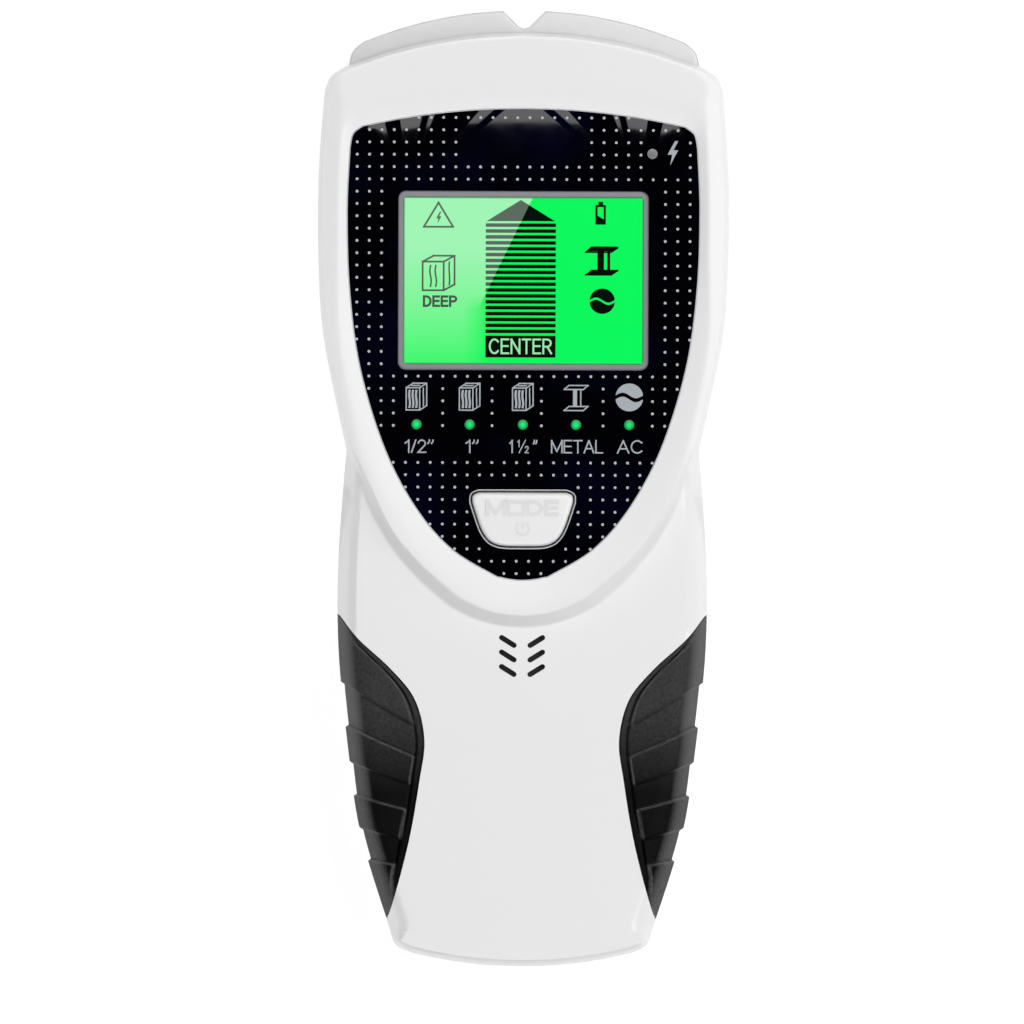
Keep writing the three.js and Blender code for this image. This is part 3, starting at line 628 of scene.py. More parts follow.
def rear_cover(material):
    piece = back_block("rear_cover")
    inner = slab("inner_head", offset(HEAD, WALL), WALL, 30)
    inner_handle = slab("inner_handle", offset(HANDLE, GRIP + GAP + WALL), WALL, 30)
    piece = combine(piece, "DIFFERENCE", combine(inner, "UNION", inner_handle))
    bosses = [turned("boss", [(4.6, 1), (4.6, REAR_HIGH)], *place) for place in CASE_SCREWS]
    rails = middle_box(22.8, (RAIL_END, BAY_END + BAY_WALL), (1, RAIL_TOP))
    bay = middle_box(BAY_HALF + BAY_WALL, (-84, BAY_END + BAY_WALL), (3, 22.6))
    piece = combine(piece, "UNION", *bosses, rails, bay)
    wells = [turned("well", [(3.8, -1), (3.4, 0.4), (3.4, 5)], *place) for place in CASE_SCREWS]
    holes = [turned("hole", [(1.7, 4), (1.7, 15)], *place) for place in CASE_SCREWS]
    pockets = []
    for side in (-1, 1):
        pocket = slab("pocket", grip_region(side), GRIP_LOW - GAP, 40)
        core = slab("pocket_core", offset(HANDLE, GRIP + GAP), -2, 50)
        pockets.append(combine(pocket, "DIFFERENCE", core))
    cuts = [
        middle_box(BAY_HALF, (BEYOND, BAY_END), (-1, BAY_TOP)),
        middle_box(16.2, (-41, -30), (18, 23.6)),
        middle_box(7, (-34, -30), (7, 19)),
        middle_box(DOOR_HALF + GAP, (BEYOND, DOOR_END + GAP), (-1, 2.1)),
        middle_box(DOOR_HALF + GAP, (BEYOND, -84), (-1, 13)),
        middle_box(DOOR_FLANGE + GAP, (BEYOND, DOOR_END - 1.5), (2.0, RAIL_FLOOR)),
        middle_box(6.5, (DOOR_END - 3, DOOR_END + 4), (2.0, RAIL_FLOOR)),
    ]
    piece = combine(piece, "DIFFERENCE", *wells, *holes, *pockets, *cuts)
    return finish_piece(crisp(piece, 30), material, HOUSING, ["rear_shell"])


def battery_door(material):
    piece = back_block("door_cover")
    keep = slab("keep", rounded_rectangle(2 * DOOR_HALF, 100, 1.2, 0, DOOR_END - 50), -1, 11.5)
    piece = combine(piece, "INTERSECT", keep)
    hollow = slab("hollow", offset(HANDLE, WALL), WALL, 13)
    hollow = combine(hollow, "INTERSECT", box([-40, -84.5, 0], [40, 0, 20]))
    pitch, groove_depth = 2, 0.6
    grooves = [
        slab("groove", rounded_rectangle(13 - pitch * i, 1.1, 0.5, 0, -42 - pitch * i), -1, groove_depth)
        for i in range(4)
    ]
    piece = combine(piece, "DIFFERENCE", hollow, *grooves)
    low, high = 2 + GAP, RAIL_FLOOR - GAP
    parts = []
    for side in (-1, 1):
        for edge, bottom in ((DOOR_HALF, 1), (DOOR_FLANGE, low)):
            left, right = sorted([side * (DOOR_HALF - 1.3), side * edge])
            parts.append(box([left, RAIL_END, bottom], [right, -37, high]))
    parts.append(middle_box(6, (DOOR_END - 1.5, DOOR_END), (1, high)))
    parts.append(middle_box(6, (DOOR_END - 1.5, DOOR_END + 2.5), (low, high)))
    parts += [middle_box(17, (y - 0.5, y + 0.5), (1, 3.0)) for y in (-81, -46)]
    piece = combine(piece, "UNION", *parts)
    return finish_piece(crisp(piece, 30), material, DOOR_BODY, ["battery_door"])


def foam_pad(material):
    """The strip of foam on the door that keeps the battery from rattling."""
    low, high = span("door_foam")
    rows, columns = 61, 25
    pores = np.random.default_rng(7).normal(0, 0.025, (rows, columns))
    u, v = np.meshgrid(np.linspace(-1, 1, columns), np.linspace(-1, 1, rows))
    swell = (1 - u**6) * (1 - v**20)
    x = mix(low[0], high[0], (u + 1) / 2) * (1 - 0.012 * (1 - swell))
    y = mix(low[1], high[1], (v + 1) / 2)
    top = high[2] + (swell - 1) * 0.35 + pores
    layers = [np.dstack([x, y, z]).reshape(-1, 3) for z in (np.full_like(x, low[2]), top)]
    piece = new_object("door_foam_pad", np.vstack(layers), skin(rows, columns), 60)
    finish_piece(piece, material, DOOR_BODY, ["door_foam"])
    return piece


# ------------------------------------------------------------------ side grips

PADS = [  # height and slant of each pad's upper and lower edge, taken at the handle's side
    ((-15.0, 0.0), (-37.0, 0.60)),
    ((-44.6, 0.46), (-52.0, 0.37)),
    ((-57.6, 0.27), (-64.4, 0.25)),
    ((-69.8, 0.16), (-90.0, 0.0)),
]
PAD_STEP = 0.65                 # how far the pads stand proud of the grip's base
BORDER = 1.45                   # width of the flat border between the pads and the shell


def grip_section():
    """The handle's section from the lower edge of the grip up the side, over the chamfer and
    in along the face: depth from the silhouette and height, and the outward normals."""
    across = np.concatenate([np.linspace(0, 4.5, 200), np.linspace(4.6, 20, 60)])
    side_x = np.interp(50, -CASE_RIGHT[:, 1], CASE_RIGHT[:, 0])
    section = np.column_stack([side_x - across * 1.005, np.full(len(across), -50.0)])
    upper = handle_face(section, rounding=GRIP_ROUNDING)
    under = np.linspace(3.2, 0, 120)
    lower = REAR_HIGH - rounded_edge(under, 3.2, 0, REAR_HIGH, 2.3)
    shown = lower >= GRIP_LOW
    depths = np.concatenate([under[shown], across[1:]])
    line = resample(np.column_stack([depths, np.concatenate([lower[shown], upper[1:]])]), 0.22)
    along = np.gradient(line, axis=0)
    along /= np.hypot(*along.T)[:, None]
    return line, along[:, ::-1]


def grip_relief(y, inboard, to_edge):
    """How far the grip's surface lies below the handle's own surface, and how much painted highlight lies
    along a pad's rim."""
    raised = np.zeros_like(inboard)
    rim = np.zeros_like(inboard)
    for (top_y, top_slant), (low_y, low_slant) in PADS:
        below_top = (top_y - top_slant * inboard) - y
        above_low = y - (low_y - low_slant * inboard)
        pad = ramp(below_top, 0, 0.35) * ramp(above_low, 0, 0.6)
        raised = np.maximum(raised, pad)
        # The rim share is a painted highlight along each pad's upper edge and its inner border.
        upper_rim = ramp(np.abs(below_top - 0.3), 0.3, 0) * ramp(to_edge, BORDER, BORDER + 0.35)
        inner_rim = ramp(np.abs(to_edge - BORDER - 0.35), 0.35, 0) * pad
        rim = np.maximum(rim, np.maximum(upper_rim, inner_rim))
    raised *= ramp(to_edge, BORDER, BORDER + 0.35)
    rolled_rim = 0.5 * (1 - ramp(to_edge, 0, 0.3))
    groove = 0.5 * ramp(np.abs(to_edge - BORDER), 0.32, 0.0)
    return (PAD_STEP - 0.2 * (to_edge < BORDER)) * (1 - raised) + rolled_rim + groove, rim


def side_grip(side, material):
    """A rubber grip, as a closed skin of even thickness over the handle's side."""
    line, normal = grip_section()
    travelled = np.concatenate([[0], np.cumsum(np.hypot(*np.diff(line, axis=0).T))])
    widest = int(np.argmin(line[:, 0]))
    columns = 84
    outer, inner, rims = [], [], []
    for y in np.arange(-23.7, -81.6, -0.25):
        side_x, inner_x = (np.interp(-y, -edge[:, 1], edge[:, 0]) for edge in (CASE_RIGHT, GRIP_EDGE))
        ahead_x = np.interp(0.5 - y, -CASE_RIGHT[:, 1], CASE_RIGHT[:, 0])
        lean = math.hypot(1, (ahead_x - side_x) / 0.5)
        reach = (side_x - inner_x) / lean
        if reach < 0.12:
            continue
        first = np.interp(-reach, -line[:widest + 1, 0], travelled[:widest + 1])
        last = np.interp(reach, line[widest:, 0], travelled[widest:])
        place = np.linspace(first, last, columns)
        inboard, z = (np.interp(place, travelled, line[:, i]) for i in (0, 1))
        out, up = (np.interp(place, travelled, normal[:, i]) for i in (0, 1))
        x = side_x - inboard * lean
        to_edge = np.minimum(last - place, place - first + BORDER)
        relief, painted_rim_highlight = grip_relief(y, side_x - x, to_edge)
        rims.append(painted_rim_highlight)
        for layer, below in ((outer, relief), (inner, GRIP)):
            layer.append(np.column_stack([side * (x - out * below), np.full(columns, y), z - up * below]))
    faces = skin(len(outer), columns)
    if side > 0:
        faces = [face[::-1] for face in faces]
    name = "left" if side < 0 else "right"
    piece = new_object(f"{name}_grip", np.vstack(outer + inner), faces, 50)
    # Painted highlight along the pads' rims, kept on the points for the rubber's colour.
    painted_light = piece.data.attributes.new("painted_rim_highlight", "FLOAT", "POINT")
    painted_light.data.foreach_set("value", np.concatenate([*rims, np.zeros(len(inner) * columns)]))
    return finish_piece(piece, material, HOUSING, [f"grip_{name}"])


# ------------------------------------------------------------------ fascia

PRINT_RISE = 0.04               # thickness of a printed mark


def printed(name, outlines, height, material, slot, body=HOUSING, rise=PRINT_RISE):
    """Flat marks of even thickness, joined where their outlines overlap."""
    corners, loops = [], []
    for outline in outlines:
        loops.append(list(range(len(corners), len(corners) + len(outline))))
        corners += [Vector(corner) for corner in counter_clockwise(outline)]
    flat, _, triangles, _, _, sources = delaunay_2d_cdt(corners, [], loops, 0, 1e-4)
    covered = [triangle for triangle, source in zip(triangles, sources) if source]
    vertices = [(p.x, p.y, level) for level in (height, height + rise) for p in flat]
    count = len(flat)
    faces = [[c, b, a] for a, b, c in covered] + [[count + i for i in triangle] for triangle in covered]
    edges = {edge for a, b, c in covered for edge in ((a, b), (b, c), (c, a))}
    faces += [(a, b, count + b, count + a) for a, b in sorted(edges) if (b, a) not in edges]
    return finish_piece(new_object(name, vertices, faces), material, body)


def stroke(line, width):
    """The outline of a pen line of even width along an open run of points."""
    line = np.asarray(line, float)
    ahead = np.diff(line, axis=0)
    ahead /= np.hypot(*ahead.T)[:, None]
    first = np.vstack([ahead[:1], ahead])
    second = np.vstack([ahead, ahead[-1:]])
    middle = first + second
    middle /= np.hypot(*middle.T)[:, None]
    reach = width / 2 / np.maximum(0.5, (middle * first).sum(1))
    across = np.column_stack([-middle[:, 1], middle[:, 0]]) * reach[:, None]
    line[0] -= ahead[0] * width / 2
    line[-1] += ahead[-1] * width / 2
    return np.vstack([line + across, (line - across)[::-1]])


def strokes(line, width):
    """A pen line along an open run, as one outline for each of its sides."""
    return [stroke([a, b], width) for a, b in zip(line, line[1:])]


def closed_stroke(line, width):
    return strokes([*line, line[0]], width)


def wavy(x, low, high, sway, steps=8):
    turns = [2 * math.pi * i / steps for i in range(steps + 1)]
    return [[x + sway * math.sin(a), mix(low, high, i / steps)] for i, a in enumerate(turns)]


def wood_block(x, y, width, height, pen, grains):
    """A block of wood drawn in perspective: front, top and right-hand side. x and y are the
    low left corner of its front."""
    front = width * 0.66
    back = width - front
    lift = height * 0.17
    tall = height - lift
    top = y + height
    lines = closed_stroke([[x, y], [x + front, y], [x + front, y + tall], [x, y + tall]], pen)
    lines += strokes([[x, y + tall], [x + back, top], [x + width, top], [x + front, y + tall]], pen)
    lines += strokes([[x + width, top], [x + width, y + lift], [x + front, y]], pen)
    pitch = front * 0.25
    for i in range(grains):
        grain_x = x + front / 2 + (i - (grains - 1) / 2) * pitch
        thick = pitch * 0.62 if grains > 2 else pen * 0.9
        lines.append(stroke(wavy(grain_x, y + tall * 0.14, y + tall * 0.86, pitch * 0.13), thick))
    side_x = x + front + back * 0.52
    lines.append(stroke(wavy(side_x, y + lift * 0.95, y + tall * 0.98, pitch * 0.05), pen * 0.9))
    if grains > 2:
        lines.append(stroke([[x + back * 0.85, top - lift / 2], [x + front, top - lift / 2]], pen))
    return lines


def flange(x, low, width, lean, thick):
    """A girder's flange, seen a little from above."""
    left, right, high = x - width / 2, x + width / 2, low + thick
    return [[left, low], [right - lean, low], [right, high], [left + lean, high]]


def girder(x, y, width, height):
    """An I-beam drawn in perspective about its middle, as solid shapes."""
    tall, thick, web = height / 2, height * 0.17, width * 0.14
    low, high = y - tall + thick, y + tall - thick
    shapes = [flange(x, z, width, width * 0.16, thick) for z in (y + tall - thick * 1.15, y - tall)]
    shapes.append(rectangle(x - web, x + web * 0.5, low, high))
    shapes.append(stroke([[x + web * 1.6, low], [x + web * 1.6, high]], web * 0.55))
    return shapes


def girder_outline(x, y, width, height, pen):
    """An I-beam drawn with a pen: two leaning flanges and the web between them."""
    tall, thick, web = height / 2, height * 0.15, width * 0.13
    low, high = y - tall + thick, y + tall - thick * 1.5
    lines = []
    for z in (high, y - tall):
        lines += closed_stroke(flange(x, z, width, width * 0.2, thick), pen)
    lines.append(rectangle(x - web, x + web * 0.3, low, high))
    lines.append(stroke([[x + web * 1.5, low], [x + web * 1.5, high]], pen))
    return lines


def live_mark(x, y, radius, gap):
    """A disc parted by a wave, the sign for mains current: its upper and lower half."""
    across = np.linspace(-1, 1, 17)
    wave = radius * 0.2 * np.sin(-math.pi * across)
    halves = []
    for side in (1, -1):
        line = np.column_stack([x + radius * across * 0.97, y + wave + side * gap / 2])
        line = line[np.hypot(*(line - [x, y]).T) < radius]
        start, end = (math.atan2(*(corner - [x, y])[::-1]) for corner in (line[-1], line[0]))
        sweep = side * (side * (end - start) % math.tau)
        angles = np.linspace(start, start + sweep, 26)[1:-1]
        rim = np.column_stack([x + radius * np.cos(angles), y + radius * np.sin(angles)])
        halves.append(np.vstack([line, rim]))
    return halves


def bolt(x, y, height):
    """A lightning bolt about its middle."""
    shape = np.array([
        [0.12, 0.5], [-0.3, -0.06], [-0.04, -0.06], [-0.16, -0.5], [0.3, 0.12], [0.03, 0.12], [0.3, 0.5],
    ])
    return shape * height * [0.72, 1] + [x, y]


def bow(x, y, wide, high, start, end, steps=10):
    """Points of an elliptical arc about x, y between two angles in degrees."""
    angles = np.radians(np.linspace(start, end, steps + 1))
    return np.column_stack([x + wide * np.cos(angles), y + high * np.sin(angles)]).tolist()


HOOK = [[0, 1], [0.3, 1], *bow(0.3, 0.74, 0.27, 0.26, 80, -80), [0.3, 0.48], [0, 0.48]]
STEM = [[0, 0], [0, 1]]
LETTERS = {  # width and pen runs of each plain letter, in units of its height
    "1": (0.34, [[[0.04, 0.76], [0.3, 0.96]], [[0.3, 1], [0.3, 0]]]),
    "2": (0.56, [[*bow(0.28, 0.72, 0.25, 0.28, 170, -30), [0.03, 0.03]], [[0, 0], [0.56, 0]]]),
    "/": (0.3, [[[0, 0], [0.3, 1]]]),
    "”": (0.4, [[[x + 0.1, 1], [x + 0.1, 0.88], [x, 0.74]] for x in (0, 0.26)]),
    " ": (0.25, []),
    "A": (0.68, [[[0, 0], [0.34, 1]], [[0.34, 1], [0.68, 0]], [[0.12, 0.34], [0.56, 0.34]]]),
    "C": (0.66, [bow(0.36, 0.5, 0.36, 0.5, 42, 318, 20)]),
    "D": (0.62, [STEM, [[0, 1], [0.24, 1], *bow(0.24, 0.5, 0.38, 0.5, 80, -80), [0.24, 0], [0, 0]]]),
    "E": (0.52, [STEM, [[0, 1], [0.52, 1]], [[0, 0.52], [0.48, 0.52]], [[0, 0], [0.52, 0]]]),
    "L": (0.46, [[[0, 1], [0, 0]], [[0, 0], [0.46, 0]]]),
    "M": (0.74, [STEM, [[0, 1], [0.37, 0.1]], [[0.37, 0.1], [0.74, 1]], [[0.74, 1], [0.74, 0]]]),
    "N": (0.62, [STEM, [[0, 1], [0.62, 0]], [[0.62, 0], [0.62, 1]]]),
    "O": (0.66, [STEM, [[0, 1], [0.66, 1]], [[0.66, 1], [0.66, 0]], [[0.66, 0], [0, 0]]]),
    "P": (0.58, [STEM, HOOK]),
    "R": (0.6, [STEM, HOOK, [[0.3, 0.48], [0.6, 0]]]),
    "T": (0.58, [[[0, 1], [0.58, 1]], [[0.29, 1], [0.29, 0]]]),
}


def written(text, centre, width, height, pen, spacing=0.16):
    """The pen strokes of a word of a given width and height about a centre."""
    runs, cursor = [], 0
    for letter in text:
        wide, pen_runs = LETTERS[letter]
        runs += [np.array(run) + [cursor, 0] for run in pen_runs]
        cursor += wide + spacing
    size = np.array([(width - pen) / (cursor - spacing), height - pen])
    corner = np.array(centre) - [(width - pen) / 2, (height - pen) / 2]
    return [stroke(corner + run * size, pen) for run in runs]


def small_half(centre, height, pen):
    """The fraction one half, with its figures above and below a slanting line."""
    x, y = centre
    figure = height * 0.55
    shapes = written("1", (x - height * 0.28, y + height * 0.22), height * 0.2, figure, pen)
    shapes += written("/", (x, y), height * 0.55, height, pen)
    shapes += written("2", (x + height * 0.33, y - height * 0.22), height * 0.32, figure, pen)
    return shapes


DOT_PITCH = (2.32, 2.317)       # across and along the fascia
DOT_ROW_Y = 21.07               # the row of dots under the display


def dot_places():
    """The printed grid of dots, left blank round the display, lamps, signs and button."""
    columns = [(k + 0.5) * DOT_PITCH[0] for k in range(-15, 15)]
    rows = [DOT_ROW_Y + DOT_PITCH[1] * k for k in range(-16, 22)]
    places = np.array([(x, y) for y in rows for x in columns])
    places = places[depth(FASCIA, places) > 0.3]
    x, y = places.T
    display = (np.abs(x) < COLLAR[0] / 2 + 0.9) & (np.abs(y - DISPLAY_Y) < COLLAR[1] / 2 + 0.9)
    button = depth(BUTTON, places) > -1.1
    crest = (np.abs(x) < 12) & (y > 62) & (y < 68)
    warning = (x > 22.5) & (x < 30.5) & (y > 60) & (y < 66.5)
    gaps = np.array([-24.3, -26.7, -15, -5.7, 3.5, 15.1, 24.4, 26.7, 29])
    near_gap = np.abs(x[:, None] - gaps).min(1) < 1.0
    signs = (y > 6) & (y < 20.3) & (np.abs(x) < 27.5) & ~(near_gap & (y > 10.5))
    return places[~(display | button | crest | warning | signs)]


def display_plate(name, size, radius, low, high, **edges):
    """An upright plate about the middle of the display, with rounded corners."""
    return slab(name, rounded_rectangle(*size, radius, 0, DISPLAY_Y), low, high, **edges)


def fascia_panel(material):
    """The glossy black panel, open over the display and round the button."""
    piece = slab("fascia_panel", FASCIA, FASCIA_LOW, FASCIA_HIGH, top_edge=0.12, steps=3)
    window = display_plate("window", COLLAR, 1.6, 0, 30)
    hole = slab("button_hole", offset(BUTTON, -0.28), 0, 30)
    combine(piece, "DIFFERENCE", window, hole)
    return finish_piece(crisp(piece, 15), material, HOUSING, ["fascia"])


def outline_ring(name, outline, low, high, material):
    """A thin rounded line on the fascia that follows an outline, lying inside it."""
    outline = counter_clockwise(outline)
    width = 0.22
    section = [(0, low), (0, high - 0.03), (0.15, high), (0.85, high), (1, high - 0.03), (1, low)]
    rings = [level_ring(outline, width * share, height) for share, height in section]
    faces = []
    for i in range(len(rings)):
        faces += band(len(outline), i * len(outline), (i + 1) % len(rings) * len(outline))
    piece = new_object(name, np.vstack(rings), faces, 50)
    return finish_piece(piece, material, HOUSING)


def display_bezel(material):
    """The grey frame round the display, with a rounded face and the base that holds the glass."""
    piece = display_plate("display_bezel", COLLAR, 1.5, 20, FASCIA_HIGH - 0.5, top_edge=0.25)
    low, high = span("display_frame")
    base = display_plate("base", (high - low)[:2], 1.5, low[2], 23.7)
    combine(piece, "UNION", base)
    glass_low, glass_high = span("display_glass")
    pocket_size = (glass_high - glass_low)[:2] + 2 * GAP
    pocket = display_plate("pocket", pocket_size, 0.5, 0, DISPLAY_TOP + GAP)
    window = display_plate("window", WINDOW, 0.6, 0, 30)
    combine(piece, "DIFFERENCE", pocket, window)
    return finish_piece(crisp(piece, 15), material, HOUSING, ["display_frame"])


def display_face(material):
    low, high = span("display_glass")
    edges = {"top_edge": 0.15, "bottom_edge": 0.15}
    piece = display_plate("display_cell", (high - low)[:2], 0.3, low[2], high[2], **edges)
    return finish_piece(piece, material, HOUSING, ["display_glass"])


def display_window(material):
    """The clear pane in the bezel, over the display."""
    top = FASCIA_HIGH - 0.8
    edges = {"top_edge": 0.1, "bottom_edge": 0.1, "sharp": 15}
    piece = display_plate("display_window", np.array(WINDOW) - 0.06, 0.6, top - 0.8, top, **edges)
    return finish_piece(piece, material, HOUSING)


BAR_MIDDLE = -0.5
BAR_HALF = 6.6                  # half width of the strength bars in the display
ARROW_TIP, ARROW_BASE = 54.3, 50.3
BAR_TOP, BAR_PITCH, BAR_COUNT, BAR_THICK = 49.55, 1.11, 19, 0.68
CENTRE_BOX = (24.65, 28.75)     # lower and upper edge of the box with the word


def display_marks(material, cut_out):
    """What the display shows: the strength arrow with its bars, signs and two words."""
    level = DISPLAY_TOP + 0.02
    left, right = BAR_MIDDLE - BAR_HALF, BAR_MIDDLE + BAR_HALF
    marks = [[[left + 0.15, ARROW_BASE], [right - 0.15, ARROW_BASE], [BAR_MIDDLE, ARROW_TIP]]]
    for i in range(BAR_COUNT):
        middle = BAR_TOP - i * BAR_PITCH
        marks.append(rectangle(left, right, middle - BAR_THICK / 2, middle + BAR_THICK / 2))
    marks.append(rectangle(left, right, *CENTRE_BOX))
    marks += closed_stroke([[-18.75, 49.2], [-13.25, 49.2], [-16.0, 53.75]], 0.36)
    marks.append(bolt(-15.95, 50.9, 2.3))
    marks += wood_block(-18.95, 37.25, 6.0, 6.5, 0.34, 2)
    marks += written("DEEP", (-15.65, 35.2), 6.5, 2.2, 0.44, 0.28)
    marks += [
        rectangle(13.55, 15.45, 49.7, 50.6),
        [[13.6, 50.5], [15.4, 50.5], [13.6, 51.6]],
        *closed_stroke([[13.72, 50.2], [13.72, 53.2], [15.28, 53.2], [15.28, 50.2]], 0.4),
        rectangle(14.05, 14.95, 53.3, 54.0),
    ]
    marks += girder(14.75, 43.0, 6.0, 5.5)
    marks += girder_outline(14.75, 43.0, 6.0, 5.5, 0.3)
    marks += live_mark(14.85, 35.3, 2.4, 0.42)
    printed("display_marks", marks, level, material, "chip_black")
    word = written("CENTER", (BAR_MIDDLE, 26.75), 11.9, 2.95, 0.34, 0.24)
    printed("display_word", word, level + PRINT_RISE, cut_out, "display_green")


def fascia_prints(dot_ink, sign_ink):
    """The dots, the signs over the lamps and their labels, printed on the fascia."""
    level = FASCIA_HIGH - 0.005
    dots = [circle(x, y, 0.27, 12) for x, y in dot_places()]
    printed("fascia_dots", dots, level, dot_ink, "frame_grey")
    signs = []
    for x, _ in LEDS[:3]:
        signs += wood_block(x - 1.95, 14.7, 3.85, 5.05, 0.24, 3)
    metal_x, live_x = LEDS[3][0], LEDS[4][0]
    signs += girder_outline(metal_x, 17.25, 4.5, 5.1, 0.24)
    signs += live_mark(live_x, 17.2, 2.62, 0.75)
    signs.append(bolt(28.05, WARNING[1] + 0.15, 4.6))
    printed("fascia_signs", signs, level, sign_ink, "frame_grey")
    label_y, cap, pen = 7.9, 2.55, 0.27
    labels = written("1/2”", (LEDS[0][0] + 0.5, label_y), 5.7, cap, pen)
    labels += written("1”", (LEDS[1][0] + 0.45, label_y), 2.7, cap, pen)
    more_x = LEDS[2][0]
    labels += written("1", (more_x - 2.2, label_y), 0.8, cap, pen)
    labels += small_half((more_x - 0.1, label_y), cap, 0.2)
    labels += written("”", (more_x + 2.35, label_y), 0.95, cap, pen)
    labels += written("METAL", (LEDS[3][0] + 0.2, label_y), 9.8, cap, pen)
    labels += written("AC", (LEDS[4][0] + 0.15, label_y), 4.9, cap, pen)
    printed("fascia_labels", labels, level, sign_ink, "frame_grey")


def lamp_windows(lit, unlit):
    """The round windows over the lamps, slightly domed."""
    profile = [(0.96, -0.05), (0.95, 0.02), (0.8, 0.06), (0.5, 0.085), (0.0, 0.1)]
    for i, (x, y) in enumerate([*LEDS, WARNING]):
        warning = i == len(LEDS)
        name = "warning_window" if warning else f"range_window_{i + 1}"
        piece = turned(name, profile, 0, 0, 32)
        piece.location = Vector((x, y, FASCIA_HIGH)) * MM
        finish_piece(piece, unlit if warning else lit, HOUSING)


# ------------------------------------------------------------------ mode button

def mode_key(material, mark_material):
    """The keycap with its slightly crowned face, and the raised word and power sign on it."""
    low, high = span("mode_button")
    cap_top, cap_low = high[2], 22.9
    rim = slab("key_flange", offset(BUTTON, -1.4), 22.6, 23.7)
    stem = turned("key_stem", [(1.8, low[2]), (1.8, 23)], 0, BUTTON_MID)
    rows = rows_of(BUTTON, [0.06, 0.15, 0.3, 0.5, 0.8, 1.2, 1.8], lambda p: inside(BUTTON, p))
    points, triangles = triangulate([BUTTON], rows, 0.8)
    labels = np.where(inside(BUTTON, points[triangles].mean(1)), 0, -1)
    inward = depth(BUTTON, points)
    crown = 0.25 * ((points[:, 0] / 10) ** 2 + ((points[:, 1] - BUTTON_MID) / 7) ** 2)
    face = rounded_edge(inward, 0.9, cap_top - 1.1, cap_top, 2.4) - np.minimum(crown, 0.3)
    heights = [(face, np.full(len(face), cap_low))]
    cap = layered_solid("mode_key", points, triangles, labels, heights)
    combine(cap, "UNION", rim, stem)
    finish_piece(crisp(cap, 40), material, BUTTON_BODY, ["mode_button"])
    word = written("MODE", (0, BUTTON_MID + 2.1), 13.8, 3.0, 0.66, 0.2)
    raised = (cap_top - 0.15, mark_material, "key_white", BUTTON_BODY, 0.2)
    printed("mode_key_word", word, *raised)
    power = [
        stroke(bow(0, BUTTON_MID - 1.75, 1.2, 1.2, -225, 45, 30), 0.42),
        stroke([[0, BUTTON_MID - 1.6], [0, BUTTON_MID - 0.7]], 0.42),
    ]
    printed("mode_key_sign", power, *raised)


# ------------------------------------------------------------------ battery and screws

def battery_block(jacket, metal):
    """A block battery with a rolled jacket, a recessed end plate and its two snap studs."""
    low, high = span("battery")
    stud_height = 2.1
    end = high[1] - stud_height
    size = (high - low)[[0, 2]]
    middle = (low[2] + high[2]) / 2

    def upright(outline, x, y):
        """The outline stood across the battery, about x and the battery's middle."""
        return np.column_stack([x + outline[:, 0], np.full(len(outline), y), middle + outline[:, 1]])

    outline = rounded_rectangle(*size, 2.4)
    levels = [(0.9, low[1] + 0.3), (0.4, low[1]), (0.1, low[1] + 0.1), (0, low[1] + 0.4),
              (0, end - 0.5), (0.12, end - 0.1), (0.4, end), (0.8, end - 0.25), (1.0, end - 0.5)]
    rings = [upright(outline * (1 - 2 * inset / size), 0, y) for inset, y in levels]
    can = loft("battery_can", rings[::-1], 35)
    finish_piece(can, jacket, HOUSING, ["battery"])
    studs = []
    for x, radius, sides in ((6.35, 2.85, 40), (-6.35, 4.1, 6)):
        profile = [(radius + 0.8, end - 0.5), (radius + 0.8, end - 0.1), (radius * 0.86, end),
                   (radius * 0.9, end + 0.8), (radius, end + 1.7), (radius * 0.93, high[1]),
                   (radius * 0.6, high[1]), (radius * 0.55, high[1] - 0.9)]
        rings = [upright(circle(0, 0, reach, sides), x, y) for reach, y in profile]
        studs.append(loft("stud", rings[::-1], 30))
    contacts = merge("battery_contacts", studs, 30)
    finish_piece(contacts, metal, HOUSING)


def case_screws(material):
    """Pan-head screws with a cross recess, sunk in the wells of the back."""
    head_top, turns = 4.7, 9
    for i, (x, y) in enumerate(CASE_SCREWS):
        bottom, top = (corner[2] for corner in span(f"case_screw_{i + 1}"))
        profile = [(0.0, bottom), (1.6, bottom + 0.06), (2.3, bottom + 0.3), (2.7, bottom + 0.8),
                   (2.8, bottom + 1.2), (2.8, head_top), (1.35, head_top)]
        for turn in range(turns):
            z = head_top + 0.8 + turn * (top - 2 - head_top - 0.8) / turns
            profile += [(1.1, z), (1.35, z + 0.35), (1.1, z + 0.7)]
        profile += [(1.1, top - 1.2), (0.3, top)]
        piece = turned(f"cover_screw_{i + 1}", profile, x, y, 32, 40)
        blades = [
            box([x - across, y - along, bottom - 1], [x + across, y + along, bottom + 1.0])
            for across, along in ((1.55, 0.32), (0.32, 1.55))
        ]
        combine(piece, "DIFFERENCE", *blades)
        finish_piece(crisp(piece), material, HOUSING, [f"case_screw_{i + 1}"])


# ------------------------------------------------------------------ materials

